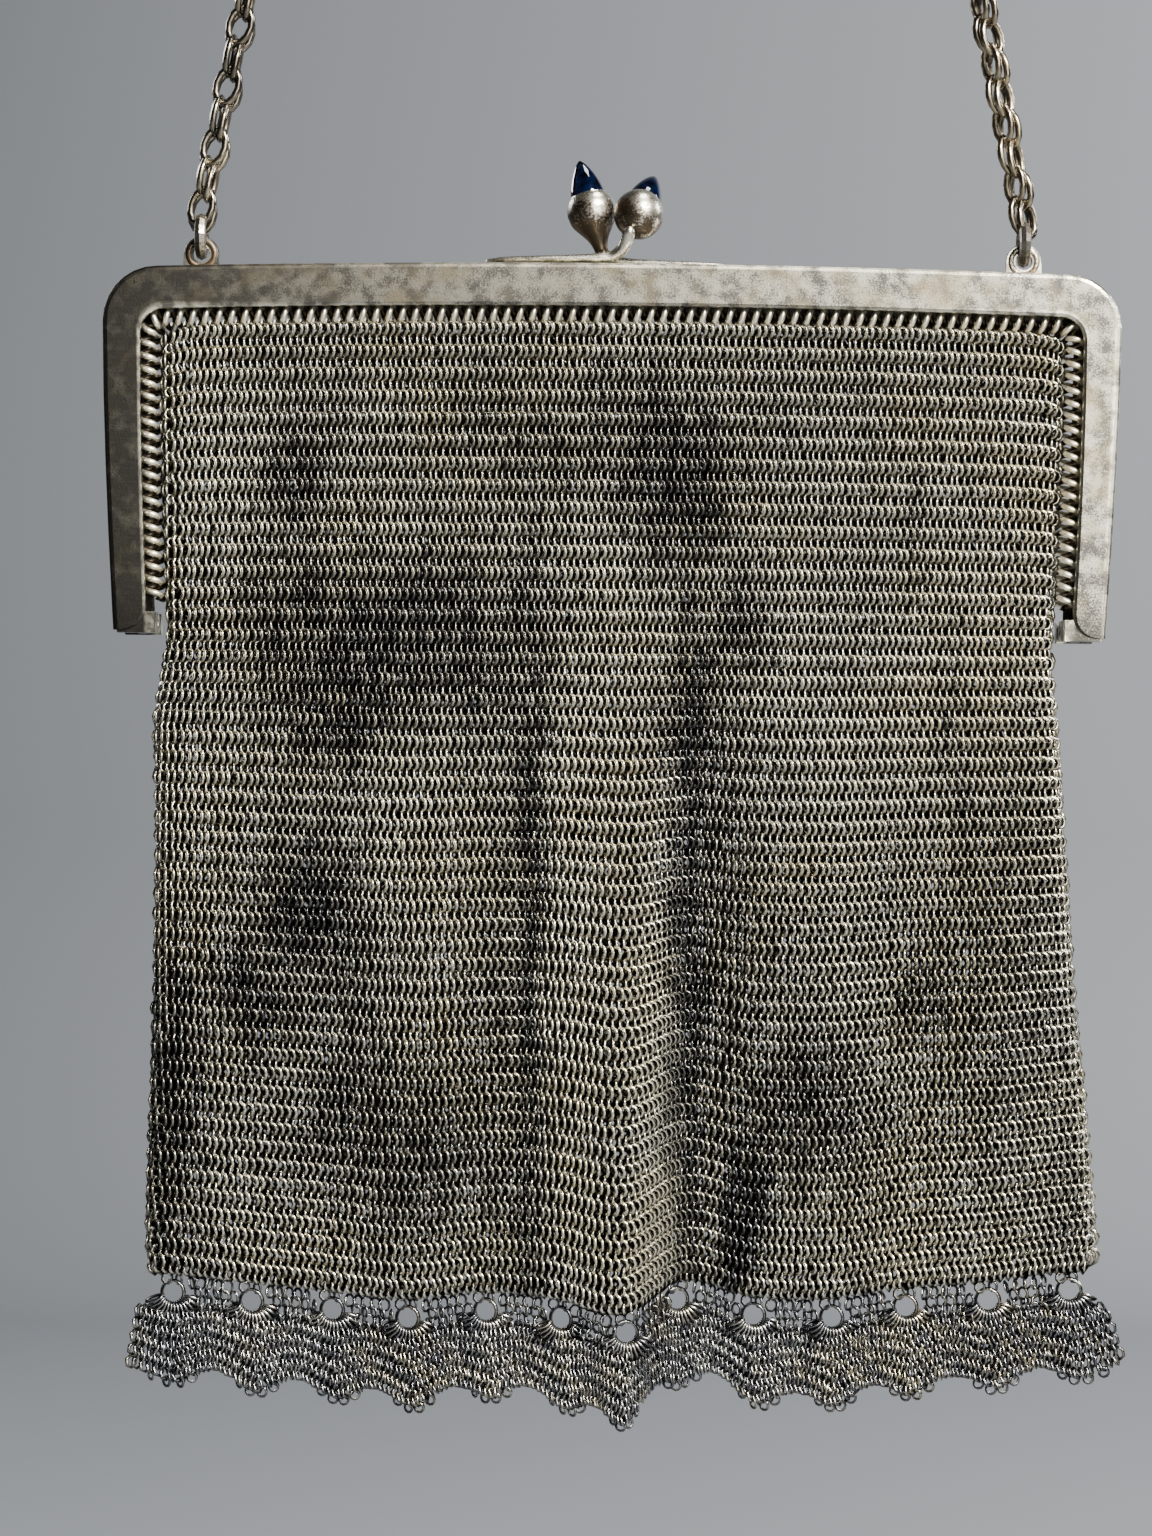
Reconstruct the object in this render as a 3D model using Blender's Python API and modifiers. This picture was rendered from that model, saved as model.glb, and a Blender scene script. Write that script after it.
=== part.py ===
"""Metal ring-mesh purse: hinged frame, kiss clasp, chain handle, hollow bag and scalloped fringe.

Metres, +Z up, the front faces -Y. Every piece is modelled from the middle of the frame's top
edge, with y = 0 where the two jaws meet, and hangs from an empty placed there. The origin is
the underside of the chain's loop, where the purse hangs.
"""
import math
from collections import namedtuple

import bmesh
import bpy
import numpy as np
from mathutils import Vector

# Fit between neighbouring pieces
GAP = 0.0003

# Frame: each jaw is a plate with a rim turned back along its outer edge
FRAME_WIDTH = 0.1500
FRAME_WIDTH_AT_FEET = 0.1460
FRAME_DROP = 0.0546
JAW_DEPTH = 0.0060
SHEET = 0.0009
BAR_HEIGHT = 0.0063
LEG_WIDTH = 0.0056
LEG_WIDTH_AT_FEET = 0.0050
OUTER_CORNER = 0.0080
INNER_CORNER = 0.0035
TOP_RISE = 0.0010
LEG_BOW = 1.5
RIM_ROUND = 0.0008
LIP_ROUND = 0.00045
FOOT_CUT = 0.0036
JAW_SPLIT = GAP

# Hinge at the foot of each leg: two front knuckles with a back one between them
PIN_RADIUS = 0.0006
KNUCKLE_RADIUS = 0.0015
HINGE_RISE = 0.0012
KNUCKLE_LENGTH = 0.0014
KNUCKLE_STEP = KNUCKLE_LENGTH + GAP
HINGE_INNER = FRAME_WIDTH_AT_FEET / 2 - SHEET - 3 * KNUCKLE_STEP
EAR_THICKNESS = 0.0016
EAR_HEIGHT = 0.0031
EAR_DROP = 0.0004

# Chain eyes, jump rings and chain
LUG_X = 0.0612
LUG_Y = 0.0009
LUG_THICKNESS = 0.0012
LUG_RADIUS = 0.00255
LUG_HOLE = 0.0013
LUG_HOLE_Z = 0.0016
LUG_ROOT = 0.0010
LUG_FOOT_SPREAD = 1.08
LUG_FOOT_DEPTH = 1.6 * LUG_ROOT
RING_WIRE = 0.000875
RING_RADIUS = 0.00263
CHAIN_RADIUS = 0.0024
CHAIN_LEAN = math.radians(11.3)
CHAIN_BEND = 0.070
CHAIN_STEPS = 22

# Clasp: each arm is a strip along the frame's top that climbs into its ball
STRIP_LENGTH = 0.0188
STRIP_Y = 0.0022
ARM_HALF_WIDTH = 0.0015
ARM_HALF_HEIGHT = 0.0010
BALL_RADIUS = 0.0037
KNOB_SIDES = 16
COLLAR_RADIUS = 0.0026
COLLAR_AT = 0.0030
STONE_RADIUS = 0.0022
STONE_HEIGHT = 0.0050
STONE_FULLNESS = 1.7
RECESS_RADIUS = STONE_RADIUS + GAP
RECESS_DEPTH = 0.0006

# Lacing: a wire coil along the inner edge of each jaw
LACING_RADIUS = 0.0013
LACING_INSET = 0.0010
LACING_FOOT = 0.0500

# Bag: its length is from the frame's top to the hem's lowest point
BAG_LENGTH = 0.1543
HEM_HALF_WIDTH = 0.0703
BAG_HALF_DEPTH = 0.0074
WALL = 0.0014
HEM_LIFT = 0.0060
FOLD_DEPTH = 0.0056
MOUTH_CORNER = 0.0012
MOUTH_SHARPNESS = 40
SQUARENESS = 6.0
BAG_COLUMNS = 33
LAST_COLUMN = 0.94
EDGE_COLUMN = 0.985
FOLD_START = 0.30
FOLD_DELAY = 1.4

# Fringe
FRINGE_HEIGHT = 0.0160
FRINGE_WALL = 0.0012
FRINGE_FLARE = 0.0065
FRINGE_FIT = 0.0005
LARGE_RING_HOLE = 0.00145
LARGE_RING_DROP = 0.0026
SCALLOP_RISE = 0.0027
SCALLOP_POINT = 1.3
RIPPLE = 0.0007
FRINGE_STEPS = 7
FIRST_PHASE = -0.42
LAST_PHASE = 12.36
END_STEP = 0.145 * HEM_HALF_WIDTH

# An arm of the clasp from the tip of its strip: shares of the strip's length back from the
# middle, of the ball's distance, of the climb to the ball's centre, and of the arm's half sizes
ArmRow = namedtuple("ArmRow", "back reach climb half_width half_height")
ARM_ROWS = (
    ArmRow(1.00, 0.00, 0.00, 0.33, 0.25),
    ArmRow(0.88, 0.00, 0.00, 0.73, 0.38),
    ArmRow(0.64, 0.00, 0.00, 1.00, 0.48),
    ArmRow(0.32, 0.00, 0.00, 1.00, 0.55),
    ArmRow(0.11, 0.00, 0.01, 0.93, 0.62),
    ArmRow(0.00, 0.05, 0.05, 0.80, 0.70),
    ArmRow(0.00, 0.39, 0.17, 0.67, 0.80),
    ArmRow(0.00, 0.61, 0.36, 0.60, 0.85),
    ArmRow(0.00, 0.76, 0.57, 0.67, 0.95),
    ArmRow(0.00, 0.89, 0.79, 0.80, 1.15),
)
Knob = namedtuple("Knob", "x y z axis")
FRONT_KNOB = Knob(0.0038, -0.0020, 0.0071, (2.2, 4.3, 5.6))
BACK_KNOB = Knob(-0.0031, 0.0020, 0.0080, (-1.8, 0.6, 7.2))

# Bag below the frame's feet: share of the way down to the hem, its two edges as shares of the
# hem's half width, and its half depth as a share of the bag's
BagRow = namedtuple("BagRow", "down left right deep")
BAG_ROWS = (
    BagRow(0.00, 0.940, 0.940, 0.700),
    BagRow(0.13, 0.956, 0.943, 0.890),
    BagRow(0.28, 0.950, 0.959, 1.000),
    BagRow(0.45, 0.949, 0.973, 1.000),
    BagRow(0.61, 0.952, 0.991, 0.905),
    BagRow(0.76, 0.957, 1.013, 0.730),
    BagRow(0.88, 0.962, 1.027, 0.540),
    BagRow(0.955, 0.964, 1.034, 0.350),
    BagRow(1.00, 0.964, 1.036, 0.176),
)
# Levels between the mouth and the frame's feet, as shares of that height; the slit ends at the
# last but one
UPPER_LEVELS = (0.0, 0.25, 0.52, 0.78, 0.885)
INNER_FLOOR = 0.967

# Hem and fringe, a row for each scallop from left to right: its large ring's place as a share
# of the hem's half width, the hem's lift and how far it stands forward as shares of the hem's
# lift and of the folds' depth, the scallop's lowest point across, and its length as a share of
# the fringe's height
Scallop = namedtuple("Scallop", "ring_x lift forward low_x length")
SCALLOPS = (
    Scallop(-0.909, 0.750, 0.04, -0.902, 0.995),
    Scallop(-0.744, 0.550, 0.09, -0.730, 1.000),
    Scallop(-0.575, 0.333, -0.11, -0.556, 0.995),
    Scallop(-0.414, 0.167, 0.07, -0.397, 0.995),
    Scallop(-0.249, 0.367, 0.11, -0.235, 0.970),
    Scallop(-0.091, 0.267, 0.54, -0.071, 1.010),
    Scallop(0.048, 0.000, 1.00, 0.048, 1.010),
    Scallop(0.156, 0.600, -0.43, 0.166, 0.945),
    Scallop(0.319, 0.233, -0.54, 0.334, 1.000),
    Scallop(0.484, 0.250, -0.14, 0.494, 0.990),
    Scallop(0.637, 0.567, 0.14, 0.651, 0.980),
    Scallop(0.809, 0.750, 0.18, 0.832, 0.980),
    Scallop(0.981, 1.000, 0.04, 1.009, 0.980),
)

# Soft folds of the front wall: place and half width as shares of the hem's half width, how far
# forward as a share of the folds' depth, and where the fold starts and ends as shares of the
# bag's length
Fold = namedtuple("Fold", "x half_width forward start end")
FRONT_FOLDS = (
    Fold(-0.81, 0.114, 0.16, 0.40, 0.98),
    Fold(-0.56, 0.128, -0.23, 0.42, 0.96),
    Fold(-0.28, 0.114, 0.21, 0.45, 0.98),
    Fold(0.20, 0.085, -0.18, 0.25, 0.80),
    Fold(0.60, 0.100, -0.18, 0.50, 0.98),
    Fold(0.81, 0.114, 0.25, 0.45, 0.98),
)

BAR_HALF = FRAME_WIDTH / 2 - OUTER_CORNER


def clear_scene():
    for obj in list(bpy.data.objects):
        bpy.data.objects.remove(obj, do_unlink=True)
    for collection in list(bpy.data.collections):
        bpy.data.collections.remove(collection)


def new_collection(name):
    collection = bpy.data.collections.new(name)
    bpy.context.scene.collection.children.link(collection)
    return collection


def metal(name, colour, roughness, metallic=1.0):
    material = bpy.data.materials.new(name)
    material.use_nodes = True
    shader = material.node_tree.nodes["Principled BSDF"]
    shader.inputs["Base Color"].default_value = (*colour, 1.0)
    shader.inputs["Roughness"].default_value = roughness
    shader.inputs["Metallic"].default_value = metallic
    return material


def add_mesh(name, vertices, faces, collection, smooth=False):
    mesh = bpy.data.meshes.new(name)
    mesh.from_pydata([tuple(v) for v in vertices], [], [tuple(f) for f in faces])
    body = bmesh.new()
    body.from_mesh(mesh)
    bmesh.ops.remove_doubles(body, verts=body.verts, dist=1e-7)
    bmesh.ops.recalc_face_normals(body, faces=body.faces)
    body.to_mesh(mesh)
    body.free()
    obj = bpy.data.objects.new(name, mesh)
    collection.objects.link(obj)
    if smooth:
        mesh.shade_smooth()
        mesh.set_sharp_from_angle(angle=math.radians(40))
    return obj


def loft(name, rings, collection):
    """Closed skin through rings of the same number of points, with a flat cap on each end."""
    rings = np.asarray(rings)
    count, around, _ = rings.shape
    index = np.arange(count * around).reshape(count, around)
    nxt = np.roll(index, -1, axis=1)
    quads = np.stack([index[:-1], index[1:], nxt[1:], nxt[:-1]], axis=-1).reshape(-1, 4)
    faces = [tuple(q) for q in quads] + [tuple(index[0][::-1]), tuple(index[-1])]
    return add_mesh(name, rings.reshape(-1, 3), faces, collection, smooth=True)


def mesh_from_curve(curve_obj, collection):
    """A mesh object of a curve's shape, with its caps welded, in place of the curve."""
    graph = bpy.context.evaluated_depsgraph_get()
    mesh = bpy.data.meshes.new_from_object(curve_obj.evaluated_get(graph))
    body = bmesh.new()
    body.from_mesh(mesh)
    bmesh.ops.remove_doubles(body, verts=body.verts, dist=1e-6)
    bmesh.ops.recalc_face_normals(body, faces=body.faces)
    body.to_mesh(mesh)
    body.free()
    name = curve_obj.name
    matrix = curve_obj.matrix_world.copy()
    bpy.data.objects.remove(curve_obj, do_unlink=True)
    mesh.name = name
    obj = bpy.data.objects.new(name, mesh)
    collection.objects.link(obj)
    obj.matrix_world = matrix
    return obj


def add_tube(name, points, radius, bevel_resolution, collection):
    """Round bar along the points, a curve with a bevel and filled caps."""
    curve = bpy.data.curves.new(name, "CURVE")
    curve.dimensions = "3D"
    curve.bevel_depth = radius
    curve.bevel_resolution = bevel_resolution
    curve.use_fill_caps = True
    spline = curve.splines.new("POLY")
    spline.points.add(len(points) - 1)
    spline.points.foreach_set("co", np.c_[points, np.ones(len(points))].ravel())
    obj = bpy.data.objects.new(name, curve)
    collection.objects.link(obj)
    tube = mesh_from_curve(obj, collection)
    tube.data.shade_smooth()
    tube.data.set_sharp_from_angle(angle=math.radians(50))
    return tube


def add_plate(name, outlines, thickness, turn, place, collection):
    """Flat plate of closed outlines, holes included, extruded evenly to its thickness."""
    curve = bpy.data.curves.new(name, "CURVE")
    curve.dimensions = "2D"
    curve.fill_mode = "BOTH"
    curve.extrude = thickness / 2
    for outline in outlines:
        spline = curve.splines.new("POLY")
        spline.points.add(len(outline) - 1)
        flat = np.c_[outline, np.zeros(len(outline)), np.ones(len(outline))]
        spline.points.foreach_set("co", flat.ravel())
        spline.use_cyclic_u = True
    obj = bpy.data.objects.new(name, curve)
    obj.rotation_euler = turn
    obj.location = place
    collection.objects.link(obj)
    bpy.context.view_layer.update()
    return mesh_from_curve(obj, collection)


def add_cylinder(name, radius, start, end, sides, collection):
    """Cylinder from one point to another."""
    start, end = Vector(start), Vector(end)
    body = bmesh.new()
    bmesh.ops.create_cone(body, cap_ends=True, segments=sides, radius1=radius, radius2=radius,
                          depth=(end - start).length)
    mesh = bpy.data.meshes.new(name)
    body.to_mesh(mesh)
    body.free()
    mesh.shade_smooth()
    mesh.set_sharp_from_angle(angle=math.radians(50))
    obj = bpy.data.objects.new(name, mesh)
    obj.location = (start + end) / 2
    obj.rotation_mode = "QUATERNION"
    obj.rotation_quaternion = (end - start).to_track_quat("Z", "Y")
    collection.objects.link(obj)
    return obj


def add_box(name, low, high, collection):
    body = bmesh.new()
    bmesh.ops.create_cube(body, size=1.0)
    low, high = Vector(low), Vector(high)
    size = high - low
    bmesh.ops.scale(body, vec=size, verts=body.verts)
    bmesh.ops.translate(body, vec=(low + high) / 2, verts=body.verts)
    mesh = bpy.data.meshes.new(name)
    body.to_mesh(mesh)
    body.free()
    obj = bpy.data.objects.new(name, mesh)
    collection.objects.link(obj)
    return obj


def combine(target, tool, operation):
    """Boolean of the target with a tool, which stays in the file as a hidden guide."""
    modifier = target.modifiers.new(tool.name, "BOOLEAN")
    modifier.operation = operation
    modifier.solver = "EXACT"
    modifier.object = tool
    tool.hide_render = True
    tool.display_type = "WIRE"


def circle(radius, sides, centre=(0.0, 0.0)):
    angle = np.linspace(0.0, 2 * math.pi, sides, endpoint=False)
    return np.c_[centre[0] + radius * np.cos(angle), centre[1] + radius * np.sin(angle)]


def smooth_through(x, knots, values):
    """Cubic through the knots, each with the slope between its neighbours."""
    knots, values = np.asarray(knots, float), np.asarray(values, float)
    slope = np.gradient(values, knots)
    x = np.clip(np.asarray(x, float), knots[0], knots[-1])
    low = np.clip(np.searchsorted(knots, x, side="right") - 1, 0, len(knots) - 2)
    width = knots[low + 1] - knots[low]
    t = (x - knots[low]) / width
    return ((2 * t**3 - 3 * t**2 + 1) * values[low] + (t**3 - 2 * t**2 + t) * width * slope[low]
            + (3 * t**2 - 2 * t**3) * values[low + 1] + (t**3 - t**2) * width * slope[low + 1])


def column(rows, field):
    return np.array([getattr(row, field) for row in rows])


def ease(t):
    t = np.clip(t, 0.0, 1.0)
    return t * t * (3 - 2 * t)


# Frame


def top_edge(x):
    return -TOP_RISE * (np.asarray(x) / BAR_HALF) ** 2


def leg_outer(z):
    """Half width of the frame at height z: straight at the corner, drawn in towards the feet."""
    run = FRAME_DROP - OUTER_CORNER - TOP_RISE
    down = np.clip((-OUTER_CORNER - TOP_RISE - np.asarray(z)) / run, 0.0, 1.0)
    return FRAME_WIDTH / 2 - (FRAME_WIDTH - FRAME_WIDTH_AT_FEET) / 2 * down**LEG_BOW


def leg_width(z):
    down = np.clip((-OUTER_CORNER - np.asarray(z)) / (FRAME_DROP - OUTER_CORNER), 0.0, 1.0)
    return LEG_WIDTH - (LEG_WIDTH - LEG_WIDTH_AT_FEET) * down


def jaw_edges():
    """Outer and inner edge of a jaw at matching stations, from the left foot to the right."""
    rise = FOOT_CUT * (1 - np.cos(np.linspace(0.0, math.pi / 2, 6)))
    shoulder_out = -OUTER_CORNER - TOP_RISE
    shoulder_in = -TOP_RISE - BAR_HEIGHT - INNER_CORNER
    up = np.linspace(FOOT_CUT, 1.0, 6)[1:]
    share = np.r_[rise, FOOT_CUT + (FRAME_DROP + shoulder_out - FOOT_CUT) * (up - up[0]) / (1 - up[0])]
    share = np.unique(share) / (FRAME_DROP + shoulder_out)
    z_out = -FRAME_DROP + share * (FRAME_DROP + shoulder_out)
    z_in = -FRAME_DROP + share * (FRAME_DROP + shoulder_in)
    above = np.clip(z_in + FRAME_DROP, 0.0, FOOT_CUT)
    cut = FOOT_CUT - np.sqrt(FOOT_CUT**2 - (FOOT_CUT - above) ** 2)
    outer = [np.c_[-leg_outer(z_out), z_out]]
    inner = [np.c_[-(leg_outer(z_in) - leg_width(z_in) + cut), z_in]]
    turn = np.linspace(math.pi, math.pi / 2, 8)[1:]
    inner_x = FRAME_WIDTH / 2 - LEG_WIDTH - INNER_CORNER
    outer.append(np.c_[-BAR_HALF + OUTER_CORNER * np.cos(turn), shoulder_out + OUTER_CORNER * np.sin(turn)])
    inner.append(np.c_[-inner_x + INNER_CORNER * np.cos(turn), shoulder_in + INNER_CORNER * np.sin(turn)])
    along = np.linspace(1.0, 0.0, 6)[1:]
    outer.append(np.c_[-BAR_HALF * along, top_edge(BAR_HALF * along)])
    inner.append(np.c_[-inner_x * along, top_edge(BAR_HALF * along) - BAR_HEIGHT])
    outer, inner = np.vstack(outer), np.vstack(inner)
    flip = np.array([-1.0, 1.0])
    return np.vstack([outer, outer[-2::-1] * flip]), np.vstack([inner, inner[-2::-1] * flip])


def jaw_body(name, side, collection):
    """Plate and rim of a jaw: one bent section carried round the frame; side -1 front, 1 back."""
    outer, inner = jaw_edges()
    across = inner - outer
    width = np.linalg.norm(across, axis=1)
    across /= width[:, None]
    arc = np.linspace(0.0, math.pi / 2, 4)
    rim = np.c_[RIM_ROUND * (1 - np.cos(arc)), RIM_ROUND * (1 - np.sin(arc))]
    lip = np.c_[LIP_ROUND * (np.sin(arc[[0, 2, 3]]) - 1), LIP_ROUND * (1 - np.cos(arc[[0, 2, 3]]))]
    back = JAW_DEPTH - JAW_SPLIT / 2
    rings = []
    for start, way, wide in zip(outer, across, width):
        section = np.vstack([
            [(0.0, back)],
            rim,
            lip + (wide, 0.0),
            [(wide, SHEET), (SHEET, SHEET), (SHEET, back)],
        ])
        flat = start + section[:, :1] * way
        rings.append(np.c_[flat[:, 0], side * (JAW_DEPTH - section[:, 1]), flat[:, 1]])
    return loft(name, rings, collection)


def hinge_line():
    return -FRAME_DROP + HINGE_RISE


def add_knuckle(name, side, near, far, tools):
    """Eye round the hinge line with a leaf to the plate, between two distances from the middle."""
    sweep = np.linspace(-math.pi / 2, math.pi / 2, 9)
    nose = np.c_[KNUCKLE_RADIUS * np.cos(sweep), hinge_line() + KNUCKLE_RADIUS * np.sin(sweep)]
    root = JAW_DEPTH - SHEET / 2
    leaf = np.array([(-root, hinge_line() + KNUCKLE_RADIUS), (-root, hinge_line() - KNUCKLE_RADIUS)])
    outline = np.vstack([nose, leaf]) * (-side, 1.0)
    turn = (math.pi / 2, 0.0, math.pi / 2)
    return add_plate(name, [outline], abs(far - near), turn, ((near + far) / 2, 0.0, 0.0), tools)


def add_hinge(jaw, side, tools):
    """Solders the ears and knuckles to a jaw and drills them for the pins."""
    spans = (0, 2) if side < 0 else (1,)
    root = side * (JAW_DEPTH - SHEET / 2)
    face = side * (JAW_DEPTH - SHEET - EAR_THICKNESS)
    ear_end = HINGE_INNER + 3 * KNUCKLE_STEP + GAP
    for hand in (-1, 1):
        word = "left" if hand < 0 else "right"
        low = -FRAME_DROP - EAR_DROP
        corners = np.array([(hand * HINGE_INNER, root, low), (hand * ear_end, face, low + EAR_HEIGHT)])
        ear = add_box(f"{jaw.name}_{word}_ear", corners.min(axis=0), corners.max(axis=0), tools)
        combine(jaw, ear, "UNION")
        for span in spans:
            near = hand * (HINGE_INNER + span * KNUCKLE_STEP)
            far = near + hand * KNUCKLE_LENGTH
            knuckle = add_knuckle(f"{jaw.name}_{word}_knuckle_{span}", side, near, far, tools)
            combine(jaw, knuckle, "UNION")
        bore = add_cylinder(
            f"{jaw.name}_{word}_bore", PIN_RADIUS + GAP, (hand * (HINGE_INNER - 2 * GAP), 0.0, hinge_line()),
            (hand * ear_end, 0.0, hinge_line()), 12, tools)
        combine(jaw, bore, "DIFFERENCE")


def add_lug(jaw, hand, tools):
    """Upright eye on the top of the back jaw, with its hole across the purse."""
    sweep = np.linspace(0.0, math.pi, 11)
    head = np.c_[LUG_RADIUS * np.cos(sweep), LUG_HOLE_Z + LUG_RADIUS * np.sin(sweep)]
    foot_x = LUG_RADIUS * LUG_FOOT_SPREAD
    foot = np.array([(-foot_x, -LUG_FOOT_DEPTH), (foot_x, -LUG_FOOT_DEPTH)])
    hole = circle(LUG_HOLE, 12, (0.0, LUG_HOLE_Z))
    word = "left" if hand < 0 else "right"
    turn = (math.pi / 2, 0.0, 0.0)
    lug = add_plate(f"{word}_lug", [np.vstack([head, foot]), hole], LUG_THICKNESS, turn,
                    (hand * LUG_X, LUG_Y, 0.0), tools)
    combine(jaw, lug, "UNION")


def lacing_path():
    """Line that the lacing coil follows, a little inside the jaw's inner edge."""
    leg = np.linspace(-LACING_FOOT, -TOP_RISE - BAR_HEIGHT - INNER_CORNER, 7)
    turn = np.linspace(math.pi, math.pi / 2, 7)[1:]
    reach = INNER_CORNER - LACING_INSET
    centre_x = FRAME_WIDTH / 2 - LEG_WIDTH - INNER_CORNER
    left = np.vstack([
        np.c_[-(leg_outer(leg) - leg_width(leg) - LACING_INSET), leg],
        np.c_[-centre_x + reach * np.cos(turn), leg[-1] + reach * np.sin(turn)],
    ])
    bar = np.linspace(-centre_x, 0.0, 6)[1:]
    left = np.vstack([left, np.c_[bar, top_edge(bar) - BAR_HEIGHT - LACING_INSET]])
    return np.vstack([left, left[-2::-1] * (-1.0, 1.0)])


def add_lacing(name, side, collection):
    path = lacing_path()
    depth = JAW_DEPTH - SHEET - GAP - LACING_RADIUS
    points = np.c_[path[:, 0], np.full(len(path), side * depth), path[:, 1]]
    return add_tube(name, points, LACING_RADIUS, 1, collection)


# Chain handle


def ring_centre_z():
    return LUG_HOLE_Z + RING_RADIUS


def chain_half():
    """Left half of the chain's line: straight at its lean, then its heading eases to level."""
    t = np.linspace(0.0, 1.0, 401)
    heading = CHAIN_LEAN + (math.pi / 2 - CHAIN_LEAN) * (1 - np.cos(math.pi * t / 2))
    step = CHAIN_BEND * np.diff(t)
    middle = (heading[1:] + heading[:-1]) / 2
    bend_x = np.r_[0.0, np.cumsum(step * np.sin(middle))]
    bend_z = np.r_[0.0, np.cumsum(step * np.cos(middle))]
    straight = (LUG_X - bend_x[-1]) / math.sin(CHAIN_LEAN)
    start_z = ring_centre_z() + RING_RADIUS + RING_WIRE + GAP
    joint = np.array([-bend_x[-1], start_z + straight * math.cos(CHAIN_LEAN)])
    run = np.linspace(0.0, 1.0, CHAIN_STEPS - 10, endpoint=False)[:, None]
    first = np.array([-LUG_X, start_z])
    pick = np.linspace(0, 400, 14).astype(int)
    bend = joint + np.c_[bend_x[pick], bend_z[pick]]
    return np.vstack([first + (joint - first) * run, bend])


def chain_line():
    half = chain_half()
    return np.vstack([half, half[-2::-1] * (-1.0, 1.0)])


def add_jump_ring(name, hand, collection):
    bpy.ops.mesh.primitive_torus_add(
        major_segments=16, minor_segments=7, major_radius=RING_RADIUS, minor_radius=RING_WIRE,
        location=(hand * LUG_X, LUG_Y, ring_centre_z()), rotation=(0.0, math.pi / 2, 0.0))
    ring = bpy.context.object
    ring.name = name
    ring.data.shade_smooth()
    for owner in list(ring.users_collection):
        owner.objects.unlink(ring)
    collection.objects.link(ring)
    return ring


# Clasp


def add_clasp(name, knob, hand, side, collection, tools):
    """Arm of oval sections that runs along the frame's top and up to its ball."""
    wide = column(ARM_ROWS, "half_width") * ARM_HALF_WIDTH
    high = column(ARM_ROWS, "half_height") * ARM_HALF_HEIGHT
    seat = GAP + high
    x = abs(knob.x) * column(ARM_ROWS, "reach") - STRIP_LENGTH * column(ARM_ROWS, "back")
    line = np.c_[x, seat + (knob.z - seat) * column(ARM_ROWS, "climb")]
    way = np.gradient(line, axis=0)
    way /= np.linalg.norm(way, axis=1)[:, None]
    angle = np.linspace(0.0, 2 * math.pi, 10, endpoint=False)
    rings = []
    for place, heading, half_width, half_height in zip(line, way, wide, high):
        up = np.array([-heading[1], heading[0]])
        flat = place + np.outer(half_height * np.sin(angle), up)
        rings.append(np.c_[hand * flat[:, 0], side * STRIP_Y + half_width * np.cos(angle), flat[:, 1]])
    arm = loft(name, rings, collection)
    centre = Vector((knob.x, knob.y, knob.z))
    axis = Vector(knob.axis).normalized()
    body = bmesh.new()
    bmesh.ops.create_uvsphere(body, u_segments=16, v_segments=10, radius=BALL_RADIUS)
    mesh = bpy.data.meshes.new(f"{name}_ball")
    body.to_mesh(mesh)
    body.free()
    mesh.shade_smooth()
    ball = bpy.data.objects.new(f"{name}_ball", mesh)
    ball.location = centre
    ball.rotation_mode = "QUATERNION"
    ball.rotation_quaternion = axis.to_track_quat("Z", "Y")
    tools.objects.link(ball)
    combine(arm, ball, "UNION")
    collar_end = centre + axis * (COLLAR_AT + GAP)
    collar = add_cylinder(f"{name}_collar", COLLAR_RADIUS, centre, collar_end, KNOB_SIDES, tools)
    combine(arm, collar, "UNION")
    above = centre + axis * (BALL_RADIUS + 2 * GAP)
    trim = add_cylinder(f"{name}_trim", BALL_RADIUS, centre + axis * COLLAR_AT, above, KNOB_SIDES, tools)
    combine(arm, trim, "DIFFERENCE")
    floor = centre + axis * (COLLAR_AT - RECESS_DEPTH)
    recess = add_cylinder(f"{name}_recess", RECESS_RADIUS, floor, above, KNOB_SIDES, tools)
    combine(arm, recess, "DIFFERENCE")
    return arm


def add_stone(name, knob, collection):
    """Bullet-shaped stone: a turned profile that rounds in to its tip."""
    t = np.linspace(0.0, 1.0, 6)[1:]
    body = bmesh.new()
    profile = [(0.0, STONE_HEIGHT)]
    for share in t[::-1]:
        profile.append((STONE_RADIUS * math.sqrt(1 - (1 - share) ** STONE_FULLNESS), STONE_HEIGHT * (1 - share)))
    profile.append((0.0, 0.0))
    profile[1:-1] = sorted(profile[1:-1], key=lambda point: -point[1])
    verts = [body.verts.new((r, 0.0, h)) for r, h in profile]
    for first, second in zip(verts, verts[1:]):
        body.edges.new((first, second))
    mesh = bpy.data.meshes.new(name)
    body.to_mesh(mesh)
    body.free()
    stone = bpy.data.objects.new(name, mesh)
    axis = Vector(knob.axis).normalized()
    seat = COLLAR_AT - RECESS_DEPTH + GAP
    stone.location = Vector((knob.x, knob.y, knob.z)) + axis * seat
    stone.rotation_mode = "QUATERNION"
    stone.rotation_quaternion = axis.to_track_quat("Z", "Y")
    turn = stone.modifiers.new("turned", "SCREW")
    turn.steps = 14
    turn.render_steps = 14
    turn.use_merge_vertices = True
    turn.merge_threshold = 0.00001
    turn.use_smooth_shade = True
    collection.objects.link(stone)
    return stone


# Bag and fringe


def hem_z(x):
    lift = smooth_through(x, column(SCALLOPS, "ring_x") * HEM_HALF_WIDTH, column(SCALLOPS, "lift"))
    return HEM_LIFT * lift - BAG_LENGTH


def hem_forward(x):
    """How far the hem's line stands forward at x, through the scallops' own values."""
    knots = column(SCALLOPS, "ring_x") * HEM_HALF_WIDTH
    return FOLD_DEPTH * smooth_through(x, knots, column(SCALLOPS, "forward"))


def feet_z():
    return -FRAME_DROP - EAR_DROP - GAP


def lacing_edge(z):
    """Half width that the two coils leave free between them at height z."""
    return leg_outer(z) - leg_width(z) - LACING_INSET - LACING_RADIUS - GAP


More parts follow.
